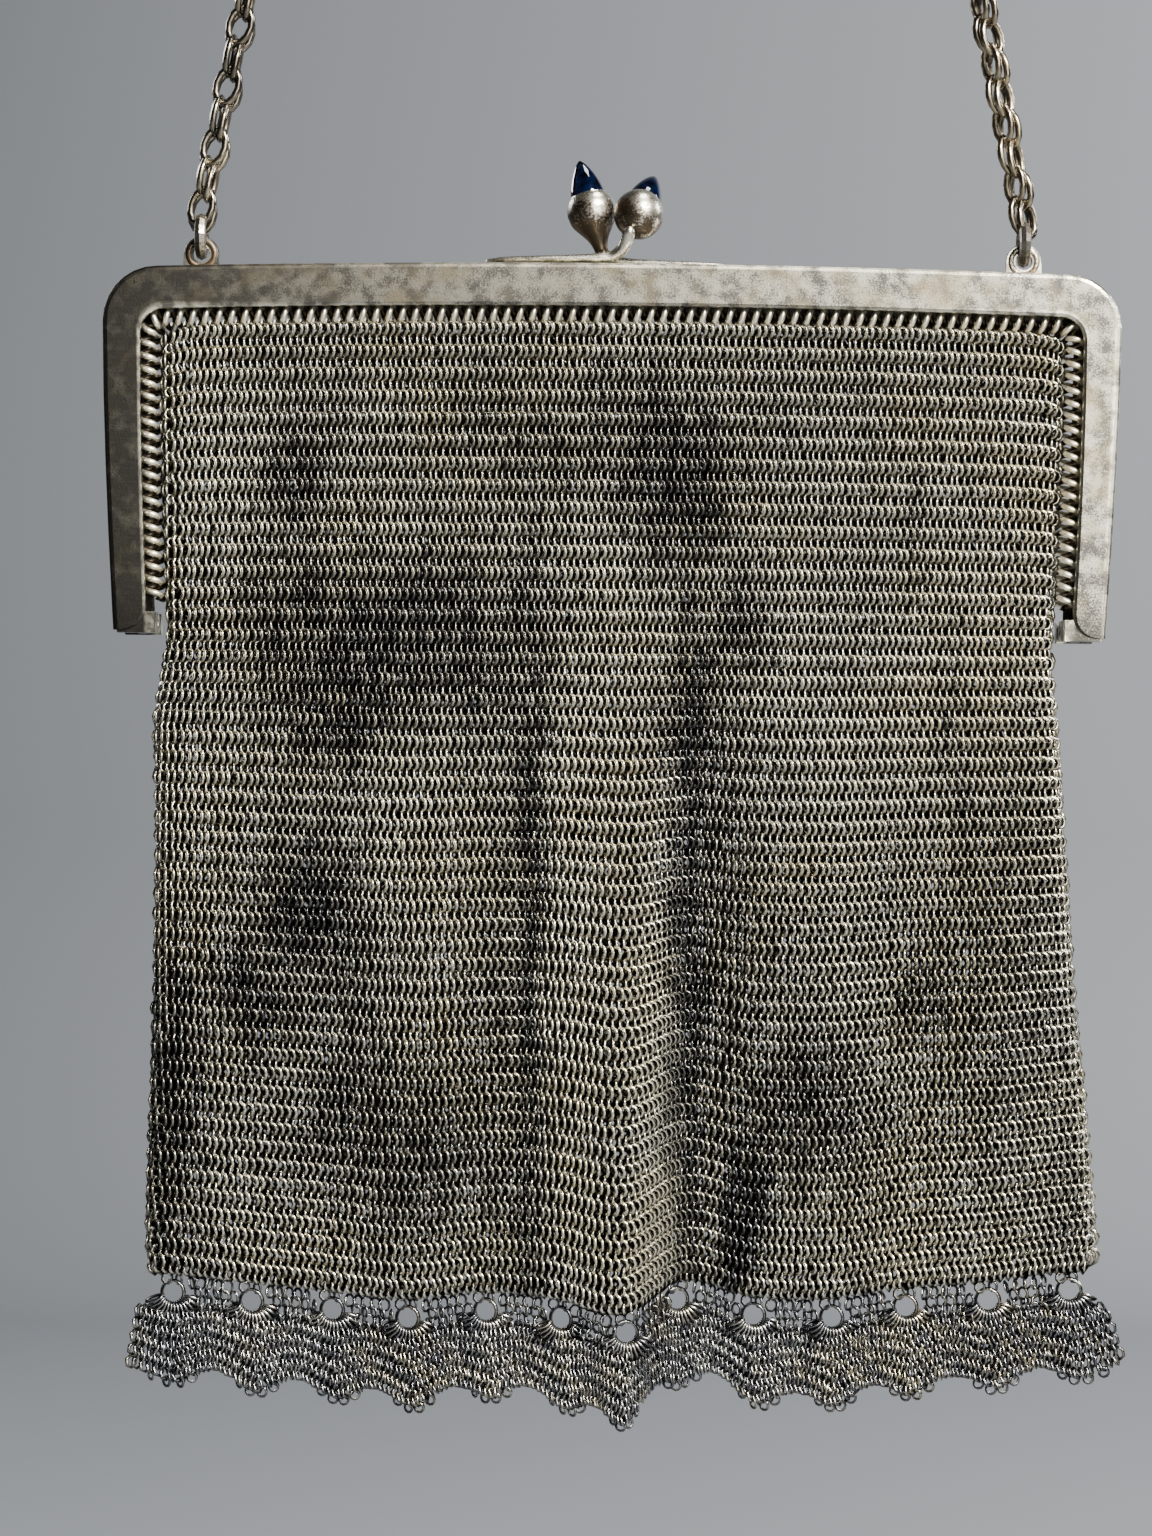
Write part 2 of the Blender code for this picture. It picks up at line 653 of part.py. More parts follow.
def mouth_half_depth():
    return JAW_DEPTH - SHEET - GAP - LACING_RADIUS + WALL / 2


def mouth_z(across):
    """Height of the bag's mouth, just under the lacing, dropping at its two corners."""
    x = across * lacing_edge(-BAR_HEIGHT)
    lacing = top_edge(x) - BAR_HEIGHT - LACING_INSET - LACING_RADIUS - GAP
    return lacing - MOUTH_CORNER * np.abs(across) ** MOUTH_SHARPNESS


def soft_folds(x, share):
    total = np.zeros_like(x)
    for fold in FRONT_FOLDS:
        middle, half = (fold.start + fold.end) / 2, (fold.end - fold.start) / 2
        off = (x - fold.x * HEM_HALF_WIDTH) / (fold.half_width * HEM_HALF_WIDTH)
        total += fold.forward * FOLD_DEPTH * ease(1 - abs(share - middle) / half) * np.exp(-off**2)
    return total


def bag_across():
    inner = np.linspace(-LAST_COLUMN, LAST_COLUMN, BAG_COLUMNS)
    return np.r_[-1.0, -EDGE_COLUMN, inner, EDGE_COLUMN, 1.0]


def upper_ring(level, inset):
    """Bag between the jaws: as wide as the lacing leaves it, level runs from mouth to feet."""
    across = bag_across()
    z = mouth_z(across) * (1 - level) + feet_z() * level
    half_width = lacing_edge(mouth_z(0.0) * (1 - level) + feet_z() * level) - inset
    return across, half_width * across, z, mouth_half_depth() - inset


def lower_ring(down, inset):
    """Bag from the frame's feet to the hem, through the table's edges and depths."""
    across = bag_across()
    downs = column(BAG_ROWS, "down")
    left = np.interp(down, downs, column(BAG_ROWS, "left")) * HEM_HALF_WIDTH
    right = np.interp(down, downs, column(BAG_ROWS, "right")) * HEM_HALF_WIDTH
    if down == 0:
        left = right = HINGE_INNER - 2 * GAP
    x = across * np.where(across < 0, left - inset, right - inset)
    deep = np.interp(down, downs, column(BAG_ROWS, "deep")) * BAG_HALF_DEPTH
    return across, x, feet_z() * (1 - down) + hem_z(x) * down, max(deep - inset, GAP)


def closed_ring(across, x, z, deep):
    """Front wall from left to right and back wall from right to left, with the folds on them."""
    half = deep * (1 - np.abs(across) ** SQUARENESS) ** (1 / SQUARENESS)
    share = z / hem_z(x)
    middle = -hem_forward(x) * ease((share - FOLD_START) / (1 - FOLD_START)) ** FOLD_DELAY
    front = np.c_[x, middle - half - soft_folds(x, share) * (half > 0), z]
    back = np.c_[x, middle + half, z]
    return np.vstack([front, back[-2:0:-1]])


def bag_skin(inset, downs):
    upper = [closed_ring(*upper_ring(level, inset)) for level in UPPER_LEVELS]
    return np.array(upper + [closed_ring(*lower_ring(down, inset)) for down in downs])


def add_bag(collection, tools):
    """Hollow bag: outer skin down to the hem, inner skin back up, joined round the mouth."""
    downs = column(BAG_ROWS, "down")
    outer = bag_skin(0.0, downs)
    inner = bag_skin(WALL, np.r_[downs[:-1], INNER_FLOOR])[::-1]
    across = len(bag_across())
    around = outer.shape[1]
    faces = []
    base = 0
    for skin in (outer, inner):
        index = base + np.arange(len(skin) * around).reshape(len(skin), around)
        nxt = np.roll(index, -1, axis=1)
        quads = np.stack([index[:-1], index[1:], nxt[1:], nxt[:-1]], axis=-1).reshape(-1, 4)
        faces += [tuple(q) for q in quads]
        base += skin.shape[0] * around
    first_inner = len(outer) * around
    for start in (first_inner - around, first_inner):
        front = start + np.arange(across)
        back = start + np.r_[0, around - np.arange(1, across - 1), across - 1]
        for i in range(across - 1):
            corners = (front[i], front[i + 1], back[i + 1], back[i])
            faces.append(tuple(dict.fromkeys(int(c) for c in corners)))
    mouth_inner = base - around
    for i in range(around):
        j = (i + 1) % around
        faces.append((i, j, mouth_inner + j, mouth_inner + i))
    vertices = np.vstack([outer.reshape(-1, 3), inner.reshape(-1, 3)])
    bag = add_mesh("mesh_bag", vertices, faces, collection, smooth=True)
    slit_foot = mouth_z(0.0) * (1 - UPPER_LEVELS[-1]) + feet_z() * UPPER_LEVELS[-1]
    half_slit = mouth_half_depth() - WALL - 2 * GAP
    for hand in (-1, 1):
        word = "left" if hand < 0 else "right"
        near, far = sorted((hand * (lacing_edge(slit_foot) - 3 * WALL), hand * FRAME_WIDTH / 2))
        slit = add_box(f"{word}_slit", (near, -half_slit, slit_foot), (far, half_slit, -BAR_HEIGHT), tools)
        combine(bag, slit, "DIFFERENCE")
    return bag


def fringe_point(phase, down):
    """Middle of the fringe's wall: phase counts scallops, down runs from the hem to the edge."""
    marks = np.arange(len(SCALLOPS))
    past = phase - np.clip(phase, 0, marks[-1])
    top_x = HEM_HALF_WIDTH * np.interp(phase, marks, column(SCALLOPS, "ring_x")) + past * END_STEP
    low_x = HEM_HALF_WIDTH * np.interp(phase, marks, column(SCALLOPS, "low_x"))
    low_x = low_x + past * (END_STEP + FRINGE_FLARE)
    top_z = hem_z(top_x) - FRINGE_FIT
    low_z = hem_z(top_x) - FRINGE_HEIGHT * smooth_through(phase, marks, column(SCALLOPS, "length"))
    low_z = low_z + SCALLOP_RISE * np.abs(np.sin(math.pi * phase)) ** SCALLOP_POINT
    x = top_x * (1 - down) + low_x * down
    ripple = RIPPLE * np.cos(2 * math.pi * phase) * down
    return np.c_[x, -hem_forward(top_x) - ripple, top_z * (1 - down) + low_z * down]


def add_fringe(collection, tools):
    """Scalloped flounce: a thin wall along the hem, with a round hole at each large ring."""
    count = int(round((LAST_PHASE - FIRST_PHASE) * FRINGE_STEPS))
    phase = np.linspace(FIRST_PHASE, LAST_PHASE, count + 1)
    downs = (0.0, 0.35, 0.7, 1.0)
    plan = fringe_point(phase, 0.0)
    way = np.gradient(plan[:, :2], axis=0)
    normal = np.c_[way[:, 1], -way[:, 0]] / np.linalg.norm(way, axis=1)[:, None]
    offset = np.c_[normal, np.zeros(len(phase))] * FRINGE_WALL / 2
    faces_front = [fringe_point(phase, down) + offset for down in downs]
    faces_back = [fringe_point(phase, down) - offset for down in downs]
    rings = np.stack(faces_front + faces_back[::-1], axis=1)
    fringe = loft("fringe", rings, collection)
    for number, row in enumerate(SCALLOPS):
        near = int(np.argmin(np.abs(phase - number)))
        ring_x = row.ring_x * HEM_HALF_WIDTH
        centre = np.array([ring_x, -row.forward * FOLD_DEPTH, hem_z(ring_x) - LARGE_RING_DROP])
        reach = np.r_[normal[near], 0.0] * FRINGE_WALL * 3
        hole = add_cylinder(f"ring_hole_{number + 1}", LARGE_RING_HOLE, centre - reach, centre + reach, 10, tools)
        combine(fringe, hole, "DIFFERENCE")
    return fringe


def build():
    clear_scene()
    parts = new_collection("metal_mesh_purse")
    tools = new_collection("cutters")
    front_jaw = jaw_body("front_jaw", -1, parts)
    back_jaw = jaw_body("back_jaw", 1, parts)
    add_hinge(front_jaw, -1, tools)
    add_hinge(back_jaw, 1, tools)
    for hand in (-1, 1):
        add_lug(back_jaw, hand, tools)
    pieces = [
        (front_jaw, (0.50, 0.47, 0.42), 0.36, 1.0),
        (back_jaw, (0.50, 0.47, 0.42), 0.36, 1.0),
    ]
    for hand, word in ((-1, "left"), (1, "right")):
        end = HINGE_INNER + 3 * KNUCKLE_STEP - GAP
        pin = add_cylinder(f"{word}_hinge_pin", PIN_RADIUS, (hand * (HINGE_INNER + GAP), 0.0, hinge_line()),
                           (hand * end, 0.0, hinge_line()), 12, parts)
        pieces.append((pin, (0.30, 0.28, 0.25), 0.45, 1.0))
        ring = add_jump_ring(f"{word}_jump_ring", hand, parts)
        pieces.append((ring, (0.36, 0.33, 0.27), 0.40, 1.0))
    for word, knob, hand, side in (("front", FRONT_KNOB, 1, -1), ("back", BACK_KNOB, -1, 1)):
        clasp = add_clasp(f"{word}_clasp", knob, hand, side, parts, tools)
        pieces.append((clasp, (0.55, 0.51, 0.42), 0.34, 1.0))
        stone = add_stone(f"{word}_stone", knob, parts)
        pieces.append((stone, (0.010, 0.020, 0.060), 0.08, 0.0))
        lacing = add_lacing(f"{word}_lacing", side, parts)
        pieces.append((lacing, (0.52, 0.47, 0.36), 0.35, 1.0))
    line = chain_line()
    points = np.c_[line[:, 0], np.full(len(line), LUG_Y), line[:, 1]]
    chain = add_tube("chain", points, CHAIN_RADIUS, 2, parts)
    pieces.append((chain, (0.40, 0.37, 0.30), 0.38, 1.0))
    pieces.append((add_bag(parts, tools), (0.48, 0.44, 0.33), 0.42, 1.0))
    pieces.append((add_fringe(parts, tools), (0.48, 0.45, 0.36), 0.42, 1.0))

    hang = bpy.data.objects.new("purse_top", None)
    hang.location = (0.0, -LUG_Y, -(line[:, 1].max() - CHAIN_RADIUS))
    parts.objects.link(hang)
    for piece, colour, roughness, metallic in pieces:
        piece.data.materials.clear()
        piece.data.materials.append(metal(piece.name, colour, roughness, metallic))
        piece.parent = hang
    for tool in tools.objects:
        tool.parent = hang
    bpy.context.view_layer.update()


build()
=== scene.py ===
"""Look of the metal mesh purse over its CAD frame: ring mesh, lacing coils, ring fringe,
double-link chain, aged silver and blue stones, in a plain studio.

Lengths are metres. Shapes are worked out in the purse's own frame, with z = 0 at the middle of
the frame's top edge and y = 0 where the jaws meet, and are moved by PURSE_TOP at the end.
"""

import math
from collections import namedtuple

import bpy
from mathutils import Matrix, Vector
import numpy as np


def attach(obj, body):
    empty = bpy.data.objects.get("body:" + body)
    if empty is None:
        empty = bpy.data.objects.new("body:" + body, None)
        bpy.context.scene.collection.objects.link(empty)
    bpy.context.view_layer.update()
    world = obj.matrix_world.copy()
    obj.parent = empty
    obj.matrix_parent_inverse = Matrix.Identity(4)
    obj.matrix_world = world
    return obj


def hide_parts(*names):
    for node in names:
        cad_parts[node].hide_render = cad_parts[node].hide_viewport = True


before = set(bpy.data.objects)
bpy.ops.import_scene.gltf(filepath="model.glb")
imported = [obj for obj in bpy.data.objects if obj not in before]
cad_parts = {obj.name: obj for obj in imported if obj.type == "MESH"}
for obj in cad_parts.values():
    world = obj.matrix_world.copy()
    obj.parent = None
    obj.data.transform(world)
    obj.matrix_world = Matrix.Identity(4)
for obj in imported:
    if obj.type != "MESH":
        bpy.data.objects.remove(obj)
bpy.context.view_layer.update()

PURSE_TOP = np.array([0.0, -0.0009, -0.157649])
GAP = 0.0003


def table(fields, *rows):
    """Rows of values, each with the fields' names."""
    kind = namedtuple("Row", fields)
    return tuple(kind(*row) for row in rows)


# Frame, as in the CAD source
FRAME_WIDTH = 0.1500
FRAME_WIDTH_AT_FEET = 0.1460
FRAME_DROP = 0.0546
JAW_DEPTH = 0.0060
SHEET = 0.0009
BAR_HEIGHT = 0.0063
LEG_WIDTH = 0.0056
LEG_WIDTH_AT_FEET = 0.0050
OUTER_CORNER = 0.0080
INNER_CORNER = 0.0035
TOP_RISE = 0.0010
LEG_BOW = 1.5
BAR_HALF = FRAME_WIDTH / 2 - OUTER_CORNER
EAR_DROP = 0.0004

# Chain: its line, as in the CAD source, the sizes of its links, how the two of a pair spread,
# lean and slip, and the twist from the first pair to the last
LUG_X = 0.0612
LUG_Y = 0.0009
LUG_HOLE_Z = 0.0016
RING_WIRE = 0.000875
RING_RADIUS = 0.00263
CHAIN_LEAN = math.radians(11.3)
CHAIN_BEND = 0.070
LINK_LONG = 0.00272
LINK_SHORT = 0.00172
LINK_WIRE = 0.00056
LINK_PITCH = 0.00458
LINK_SPREAD = 0.10
LINK_LEAN = 0.05
LINK_SLIP = 0.0004
FIRST_TWIST = math.radians(8)
WHOLE_TWIST = math.radians(34)
EYE_RADIUS = 0.00193
EYE_WIRE = 0.00074
CHAIN_END = 0.0002

# Lacing coil
LACING_RADIUS = 0.0013
LACING_INSET = 0.0010
LACING_FOOT = 0.0500
COIL_RADIUS = 0.00108
COIL_WIRE = 0.00044
COIL_PITCH = 0.00193
COIL_STEPS = 11

# Clasp, as in the CAD source, but with larger stones, each in a seat of its own
STRIP_LENGTH = 0.0188
STRIP_Y = 0.0022
ARM_HALF_WIDTH = 0.0015
ARM_HALF_HEIGHT = 0.0010
BALL_RADIUS = 0.0037
SEAT_RADIUS = 0.00268
SEAT_AT = 0.0022
STONE_RADIUS = 0.00262
STONE_HEIGHT = 0.0057
# Radius at the closed end of a turned form
TIP = 0.00001

# Bag and fringe, as in the CAD source, but with a lower rise between the scallops
BAG_LENGTH = 0.1543
HEM_HALF_WIDTH = 0.0703
BAG_HALF_DEPTH = 0.0074
WALL = 0.0014
HEM_LIFT = 0.0060
FOLD_DEPTH = 0.0056
MOUTH_CORNER = 0.0012
SQUARENESS = 6.0
FOLD_START = 0.30
FOLD_DELAY = 1.4
FRINGE_HEIGHT = 0.0160
FRINGE_FLARE = 0.0065
FRINGE_FIT = 0.0005
LARGE_RING_DROP = 0.0026
SCALLOP_RISE = 0.0022
SCALLOP_POINT = 1.3
RIPPLE = 0.0007
FIRST_PHASE = -0.42
LAST_PHASE = 12.36
END_STEP = 0.145 * HEM_HALF_WIDTH

# Ring mesh: ring and wire radius, columns and rows of the front and of the back, then where the
# first and the last row lie down the side, and the rows' spacing at the top and low down
MESH_RING = 0.00094
MESH_WIRE = 0.00027
FRONT_COLUMNS = 140
FRONT_ROWS = 96
BACK_RING = 0.00116
BACK_WIRE = 0.00047
BACK_COLUMNS = 116
BACK_ROWS = 84
FIRST_ROW = 0.004
LAST_ROW = 0.9945
TOP_SPACING = 1.09
LOW_SPACING = 0.87
# Corners of a mesh ring's wire: close together on the half that stands out of the sheet
RING_TURNS = np.radians([0.0, 42.0, 88.0, 180.0, 272.0, 318.0])

# Rows of the mesh in turn: ring size, how far out of the sheet and lean, at the mouth and hem
ROW_KINDS = table(
    "size out lean_at_mouth lean_at_hem",
    (1.07, 0.00018, math.radians(37), math.radians(45)),
    (0.90, -0.00018, math.radians(60), math.radians(52)),
)

# Half widths to the left and right and half depth of the bag, down from the feet to the hem, as
# shares of the hem's half width and the bag's half depth
BAG_ROWS = table(
    "down left right deep",
    (0.00, 0.940, 0.940, 0.700),
    (0.13, 0.956, 0.943, 0.890),
    (0.28, 0.950, 0.959, 1.000),
    (0.45, 0.949, 0.973, 1.000),
    (0.61, 0.952, 0.991, 0.905),
    (0.76, 0.957, 1.013, 0.730),
    (0.88, 0.962, 1.027, 0.540),
    (0.955, 0.964, 1.034, 0.350),
    (1.00, 0.964, 1.036, 0.176),
)

# Scallops: place of the large ring and of the low point as shares of the hem's half width, lift
# of the hem there, its reach forward as a share of the fold's depth, and length of the fringe
SCALLOPS = table(
    "ring_x lift forward low_x length",
    (-0.909, 0.750, 0.04, -0.902, 0.995),
    (-0.744, 0.550, 0.09, -0.730, 1.000),
    (-0.575, 0.333, -0.11, -0.556, 0.995),
    (-0.414, 0.167, 0.07, -0.397, 0.995),
    (-0.249, 0.367, 0.11, -0.235, 0.970),
    (-0.091, 0.267, 0.54, -0.071, 1.010),
    (0.048, 0.000, 1.00, 0.048, 1.010),
    (0.156, 0.600, -0.43, 0.166, 0.945),
    (0.319, 0.233, -0.54, 0.334, 1.000),
    (0.484, 0.250, -0.14, 0.494, 0.990),
    (0.637, 0.567, 0.14, 0.651, 0.980),
    (0.809, 0.750, 0.18, 0.832, 0.980),
    (0.981, 1.000, 0.04, 1.009, 0.980),
)

# Soft folds down the front: place and half width as shares of the hem's half width, reach forward
# as a share of the fold's depth, and where each starts and ends as shares of the bag's length
FRONT_FOLDS = table(
    "x half_width forward start end",
    (-0.81, 0.114, 0.16, 0.40, 0.98),
    (-0.56, 0.128, -0.23, 0.42, 0.96),
    (-0.28, 0.114, 0.21, 0.45, 0.98),
    (-0.16, 0.045, -0.34, 0.42, 1.00),
    (0.01, 0.100, 0.20, 0.50, 1.00),
    (0.175, 0.055, -0.46, 0.28, 1.00),
    (0.38, 0.130, 0.14, 0.30, 0.95),
    (0.60, 0.100, -0.18, 0.50, 0.98),
    (0.81, 0.114, 0.25, 0.45, 0.98),
)

# Dark tarnish on the mesh: place across and down as shares of the hem's half width and of the
# bag's length, half sizes in the same shares, and strength
STAIN_FIELDS = "across down half_width half_height strength"
STAINS = table(
    STAIN_FIELDS,
    # top
    (-0.03, 0.17, 0.30, 0.06, 0.56),
    (0.13, 0.20, 0.13, 0.08, 0.85),
    (-0.67, 0.217, 0.07, 0.05, 0.75),
    (-0.24, 0.155, 0.10, 0.028, 0.50),
    # large stain on the left
    (-0.48, 0.37, 0.36, 0.085, 0.80),
    (-0.55, 0.436, 0.16, 0.03, 0.75),
    (-0.70, 0.34, 0.09, 0.04, 0.60),
    (-0.19, 0.33, 0.12, 0.05, 0.55),
    (0.27, 0.36, 0.08, 0.055, 0.65),
    # lower left
    (-0.63, 0.61, 0.09, 0.06, 0.90),
    (-0.73, 0.70, 0.10, 0.045, 0.75),
    (-0.56, 0.68, 0.07, 0.07, 0.65),
    (-0.45, 0.83, 0.20, 0.08, 0.66),
    (-0.93, 0.80, 0.08, 0.16, 0.75),
    # lower right
    (0.39, 0.81, 0.17, 0.07, 0.66),
    (0.285, 0.90, 0.055, 0.085, 1.00),
    (0.86, 0.70, 0.17, 0.28, 0.44),
    (0.66, 0.69, 0.06, 0.04, 0.70),
    (0.96, 0.88, 0.05, 0.11, 0.50),
)
# Painted shade in the valleys of the front's folds, and with strengths below zero painted highlights on
# the ridges
FOLD_SHADE_AND_HIGHLIGHTS = table(
    STAIN_FIELDS,
    (-0.16, 0.66, 0.034, 0.36, 0.95),
    (-0.22, 0.70, 0.08, 0.30, 0.50),
    (0.168, 0.66, 0.048, 0.34, 1.00),
    (0.22, 0.62, 0.10, 0.30, 0.55),
    (0.175, 0.44, 0.055, 0.10, 0.95),
    (0.53, 0.14, 0.018, 0.07, 0.45),
    (0.63, 0.27, 0.02, 0.08, 0.50),
    (0.71, 0.40, 0.024, 0.08, 0.50),
    (0.735, 0.55, 0.03, 0.10, 0.50),
    (0.00, 0.70, 0.11, 0.33, -0.30),
    (0.46, 0.45, 0.12, 0.20, -0.20),
    (-0.34, 0.62, 0.12, 0.16, -0.15),
    (-0.85, 0.30, 0.08, 0.25, -0.15),
    (0.85, 0.25, 0.07, 0.20, -0.20),
)
PLAIN_TARNISH = 0.13
UNEVEN_TARNISH = 0.13
STREAK_STRENGTH = 0.11
STREAKS = np.random.default_rng(3).normal(0, 1, 110)
FRINGE_TARNISH = 0.22
FRINGE_WAVE_STRENGTH = 0.36
FRINGE_WAVE_WIDTH = 0.0071
FRINGE_WAVE_HEIGHT = 0.0052

# Rings of the fringe: half width, half height and wire radius
FringeRing = namedtuple("FringeRing", "short long wire")
DENSE_RINGS = (FringeRing(0.00084, 0.00088, 0.00029), FringeRing(0.00074, 0.00088, 0.00029))
DENSE_LEAN = math.radians(50)
OPEN_RING = FringeRing(0.00080, 0.00086, 0.00025)
OPEN_LEAN = math.radians(46)
SMALL_RING = FringeRing(0.00070, 0.00075, 0.00025)
LARGE_RING = FringeRing(0.00172, 0.00172, 0.00032)
FAN_RING = FringeRing(0.00064, 0.00138, 0.00031)
LOW_RING = FringeRing(0.00068, 0.00068, 0.00025)
DENSE_PER_SCALLOP = 16
DENSE_DOWN = np.linspace(0.39, 0.96, 9)
OPEN_DOWN = (0.055, 0.155, 0.255, 0.335)
OPEN_PHASES = np.linspace(0.27, 0.73, 5)
SMALL_PHASES = (-0.08, 0.08)
LOW_PHASES = (-0.21, -0.07, 0.07, 0.21)
FAN_ANGLES = np.radians(np.linspace(-72, 72, 13))
FAN_LEAN = math.radians(60)
FAN_REACH = 0.00285
FAN_DEPTH = 0.00055

# Frame's wear and painted edge highlights: how much its outline narrows downwards, the sizes and signs of
# the outer and the inner outline with the reach of their wear and painted highlight, and the limits of
# the painted highlight on the left outer edge, of the left leg's painted shade and of the dark feet
OUTLINE_TAPER = 0.036
OUTLINES = table(
    "half top radius sign reach",
    (FRAME_WIDTH / 2, 0.0, OUTER_CORNER, -1.0, 0.0009),
    (FRAME_WIDTH / 2 - LEG_WIDTH, -TOP_RISE - BAR_HEIGHT, INNER_CORNER, 1.0, 0.0011),
)
LEFT_EDGE_HIGHLIGHT = (-0.068, -0.045)
LEFT_LEG_SHADE = (-0.073, -0.030)
FEET_TONE = (-0.0535, -0.0470)

# Studio and camera
FLOOR_Z = -0.52
BACK_WALL_Y = 1.50
SWEEP_RADIUS = 0.25
VIEW_CENTRE = (-0.0047, -0.0070, -0.2320)
VIEW_HEIGHT = 0.2256
CAMERA_ROLL = math.radians(-0.55)
LENS = 80.0
SENSOR = 36.0
LAMPS = table(
    "name place aim size power colour",
    ("key", (0.46, -0.72, 0.42), (0, 0, -0.22), (0.26, 0.26), 51.0, (1.0, 0.95, 0.86)),
    ("side", (0.25, -0.62, -0.13), (0.02, 0, -0.20), (0.36, 0.34), 3.0, (1.0, 0.97, 0.90)),
    ("fill", (-0.35, -0.60, -0.75), (0, 0, -0.22), (0.30, 0.2), 5.0, (0.94, 0.97, 1.0)),
    ("top", (0.25, -0.05, 0.75), (0, 0, -0.15), (0.4, 0.25), 6.0, (1.0, 0.97, 0.92)),
    ("backdrop", (1.5, 0.5, 0.5), (0.6, 1.5, -0.1), (0.5, 0.5), 34.0, (0.96, 0.98, 1.0)),
    ("rear", (-0.9, 0.9, 0.3), (0, 0, -0.22), (0.4, 0.4), 8.0, (0.96, 0.98, 1.0)),
)

# Sections of a clasp arm from the strip's end to the ball, as shares of the clasp's sizes. The
# front arm reaches less far and comes forward onto the face of its ball
ARM_ROWS = table(
    "back reach climb half_width half_height front_reach forward",
    (1.00, 0.00, 0.00, 0.33, 0.25, 0.00, 0.00),
    (0.88, 0.00, 0.00, 0.73, 0.42, 0.00, 0.00),
    (0.64, 0.00, 0.00, 1.00, 0.55, 0.00, 0.00),
    (0.32, 0.00, 0.00, 1.00, 0.66, 0.00, 0.00),
    (0.11, 0.00, 0.01, 0.93, 0.76, 0.00, 0.02),
    (0.00, 0.05, 0.05, 0.80, 0.85, 0.05, 0.10),
    (0.00, 0.39, 0.17, 0.67, 0.90, 0.34, 0.35),
    (0.00, 0.61, 0.36, 0.60, 0.90, 0.54, 0.75),
    (0.00, 0.72, 0.54, 0.55, 0.90, 0.63, 0.97),
    (0.00, 0.78, 0.66, 0.40, 0.50, 0.67, 1.00),
)
ARM_FORWARD = 0.0029
# Pear shape of the back ball below its middle, as shares of the ball's radius
PEAR_ROWS = table(
    "height radius",
    (-1.66, 0.26),
    (-1.42, 0.31),
    (-1.08, 0.45),
    (-0.75, 0.68),
    (-0.45, 0.89),
    (0.00, 1.00),
)
# Middle of each ball and the direction its stone points in
Knob = namedtuple("Knob", "x y z axis")
FRONT_KNOB = Knob(0.0038, -0.0020, 0.0077, (2.2, 3.9, 5.8))
BACK_KNOB = Knob(-0.0031, 0.0020, 0.0086, (-1.8, 0.6, 7.2))

chance = np.random.default_rng(7)


def column(rows, field):
    """One column of a table."""
    return np.array([getattr(row, field) for row in rows])


def smooth_through(x, knots, values):
    """Cubic through the knots, each with the slope between its neighbours."""
    knots, values = np.asarray(knots, float), np.asarray(values, float)
    slope = np.gradient(values, knots)
    x = np.clip(np.asarray(x, float), knots[0], knots[-1])
    low = np.clip(np.searchsorted(knots, x, side="right") - 1, 0, len(knots) - 2)
    width = knots[low + 1] - knots[low]
    t = (x - knots[low]) / width
    return ((2 * t**3 - 3 * t**2 + 1) * values[low] + (t**3 - 2 * t**2 + t) * width * slope[low]
            + (3 * t**2 - 2 * t**3) * values[low + 1] + (t**3 - t**2) * width * slope[low + 1])


def ease(t):
    """Smooth step, t * t * (3 - 2 * t) between 0 and 1."""
    t = np.clip(t, 0, 1)
    return t * t * (3 - 2 * t)


def unit(vectors):
    """Vectors of length one."""
    return vectors / np.linalg.norm(vectors, axis=-1, keepdims=True)


def run_along(line):
    """Length along a line at each of its points."""
    return np.r_[0, np.cumsum(np.linalg.norm(np.diff(line, axis=0), axis=1))]


def at_lengths(line, places):
    """Points at the given lengths along a line."""
    run = run_along(line)
    return np.stack([np.interp(places, run, line[:, k]) for k in range(3)], -1)


# Lines of the purse

def top_edge(x):
    """Height of the frame's top edge, which falls as the square of x."""
    return -TOP_RISE * (x / BAR_HALF) ** 2


def leg_outer(z):
    """Outer edge of the frame's leg, drawn in by a power of the way down to its foot."""
    run = FRAME_DROP - OUTER_CORNER - TOP_RISE
    down = np.clip((-OUTER_CORNER - TOP_RISE - z) / run, 0, 1)
    return FRAME_WIDTH / 2 - (FRAME_WIDTH - FRAME_WIDTH_AT_FEET) / 2 * down**LEG_BOW


def leg_width(z):
    """Width of the leg, narrower in a straight line towards its foot."""
    down = np.clip((-OUTER_CORNER - z) / (FRAME_DROP - OUTER_CORNER), 0, 1)
    return LEG_WIDTH - (LEG_WIDTH - LEG_WIDTH_AT_FEET) * down


def feet_z():
    """Height where the bag leaves the feet."""
    return -FRAME_DROP - EAR_DROP - GAP


def lacing_edge(z):
    """Half width of the bag between the legs, inside the lacing."""
    return leg_outer(z) - leg_width(z) - LACING_INSET - LACING_RADIUS - GAP


def mouth_half_depth():
    """Half depth of the bag's mouth, whose wall hangs from the lacing."""
    return JAW_DEPTH - SHEET - GAP - LACING_RADIUS + WALL / 2


def hem_z(x):
    """Height of the hem, a smooth curve through the lift at each large ring."""
    lift = smooth_through(x, column(SCALLOPS, "ring_x") * HEM_HALF_WIDTH, column(SCALLOPS, "lift"))
    return HEM_LIFT * lift - BAG_LENGTH


def hem_forward(x):
    """Reach of the hem forward, a smooth curve through the large rings."""
    knots = column(SCALLOPS, "ring_x") * HEM_HALF_WIDTH
    return FOLD_DEPTH * smooth_through(x, knots, column(SCALLOPS, "forward"))


def mouth_z(across):
    """Height of the mouth, just under the lacing, lower at its corners."""
    x = across * lacing_edge(-BAR_HEIGHT)
    lacing = top_edge(x) - BAR_HEIGHT - LACING_INSET - LACING_RADIUS - GAP
    return lacing - MOUTH_CORNER * np.abs(across) ** 40


